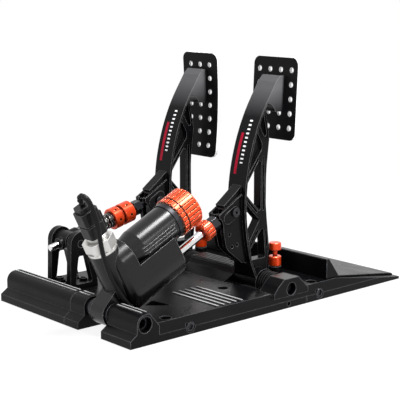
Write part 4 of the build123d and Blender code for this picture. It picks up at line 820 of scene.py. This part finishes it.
# Studio
FLOOR_REACH = 6.0       # to each side
FLOOR_HEIGHT = -0.0002
FLOOR_WHITE = (0.92, 0.92, 0.92, 1.0)
FLOOR_ROUGH = 0.9
SHADOW_REACH = (0.25, 0.7)   # the floor's own shade fades out between these
SHADOW_KEEP = (0.86, 1.0)    # share of plain white that rays see there
SKY = (0.9, 0.93, 1.0, 1.0)
SKY_STRENGTH = 0.35
WHITE = (1.0, 1.0, 1.0, 1.0)
AIM = np.array([0.0, 0.03, 0.08])
LAMPS = (  # the name, place, size and power of each
    ("top_lamp", (-0.42, -0.08, 1.22), (0.36, 0.3), 24.0),
    ("key_lamp", (-0.25, 1.1, 0.9), (0.3, 0.2), 6.0),
    ("side_lamp", (-1.2, -0.1, 0.6), (0.2, 0.3), 3.0),
    ("back_lamp", (0.7, -0.9, 0.9), (0.4, 0.25), 7.0),
)


def white_rays(tree):
    """1 for the rays that see plain white: the camera's, and those of gloss and glass."""
    rays = node(tree, "LightPath").outputs
    seen = maths(tree, "MAXIMUM", rays["Is Camera Ray"], rays["Is Glossy Ray"])
    return maths(tree, "MAXIMUM", seen, rays["Is Transmission Ray"])


def shader_blend(tree, share, first, second, output):
    """The second shader over the first, after a share, to a tree's output."""
    blend = node(tree, "MixShader")
    for socket, source in zip(blend.inputs, (share, first.outputs[0], second.outputs[0])):
        tree.links.new(source, socket)
    tree.links.new(blend.outputs[0], tree.nodes[output].inputs["Surface"])


def studio_floor():
    """Pale square floor that keeps the object's shadow and fades to white."""
    reach = np.array([-FLOOR_REACH, FLOOR_REACH])
    corners = np.stack(np.meshgrid(reach, reach, FLOOR_HEIGHT), -1)
    floor = new_piece("studio_floor", corners, strip_faces(np.arange(4).reshape(2, 2), ring=False))
    pale = bpy.data.materials.new("studio_floor")
    pale.use_nodes = True
    tree = pale.node_tree
    matt = tree.nodes["Principled BSDF"]
    matt.inputs["Base Color"].default_value = FLOOR_WHITE
    matt.inputs["Roughness"].default_value = FLOOR_ROUGH
    glow = node(tree, "Emission")
    away = node(tree, "VectorMath", operation="LENGTH")
    tree.links.new(object_place(tree), away.inputs[0])
    fade = graded(tree, away.outputs["Value"], SHADOW_REACH, SHADOW_KEEP)
    shader_blend(tree, all_of(tree, white_rays(tree), fade), matt, glow, "Material Output")
    floor.data.materials.append(pale)


def studio_world():
    """Soft even light, which the camera, gloss and glass see as white."""
    world = bpy.data.worlds.new("studio")
    world.use_nodes = True
    tree = world.node_tree
    sky = tree.nodes["Background"]
    sky.inputs["Color"].default_value = SKY
    sky.inputs["Strength"].default_value = SKY_STRENGTH
    white = node(tree, "Background")
    white.inputs["Color"].default_value = WHITE
    shader_blend(tree, white_rays(tree), sky, white, "World Output")
    scene.world = world


def lamp(name, place, size, power):
    """Soft rectangular lamp that points at AIM."""
    data = bpy.data.lights.new(name, "AREA")
    data.shape = "RECTANGLE"
    data.size, data.size_y = size
    data.energy = power
    made = bpy.data.objects.new(name, data)
    made.location = place
    x, y, z = place - AIM
    made.rotation_euler = (0.0, float(np.arctan2(np.hypot(x, y), z)), float(np.arctan2(y, x)))
    scene.collection.objects.link(made)


studio_floor()
studio_world()
for row in LAMPS:
    lamp(*row)

scene.view_settings.view_transform = "Standard"
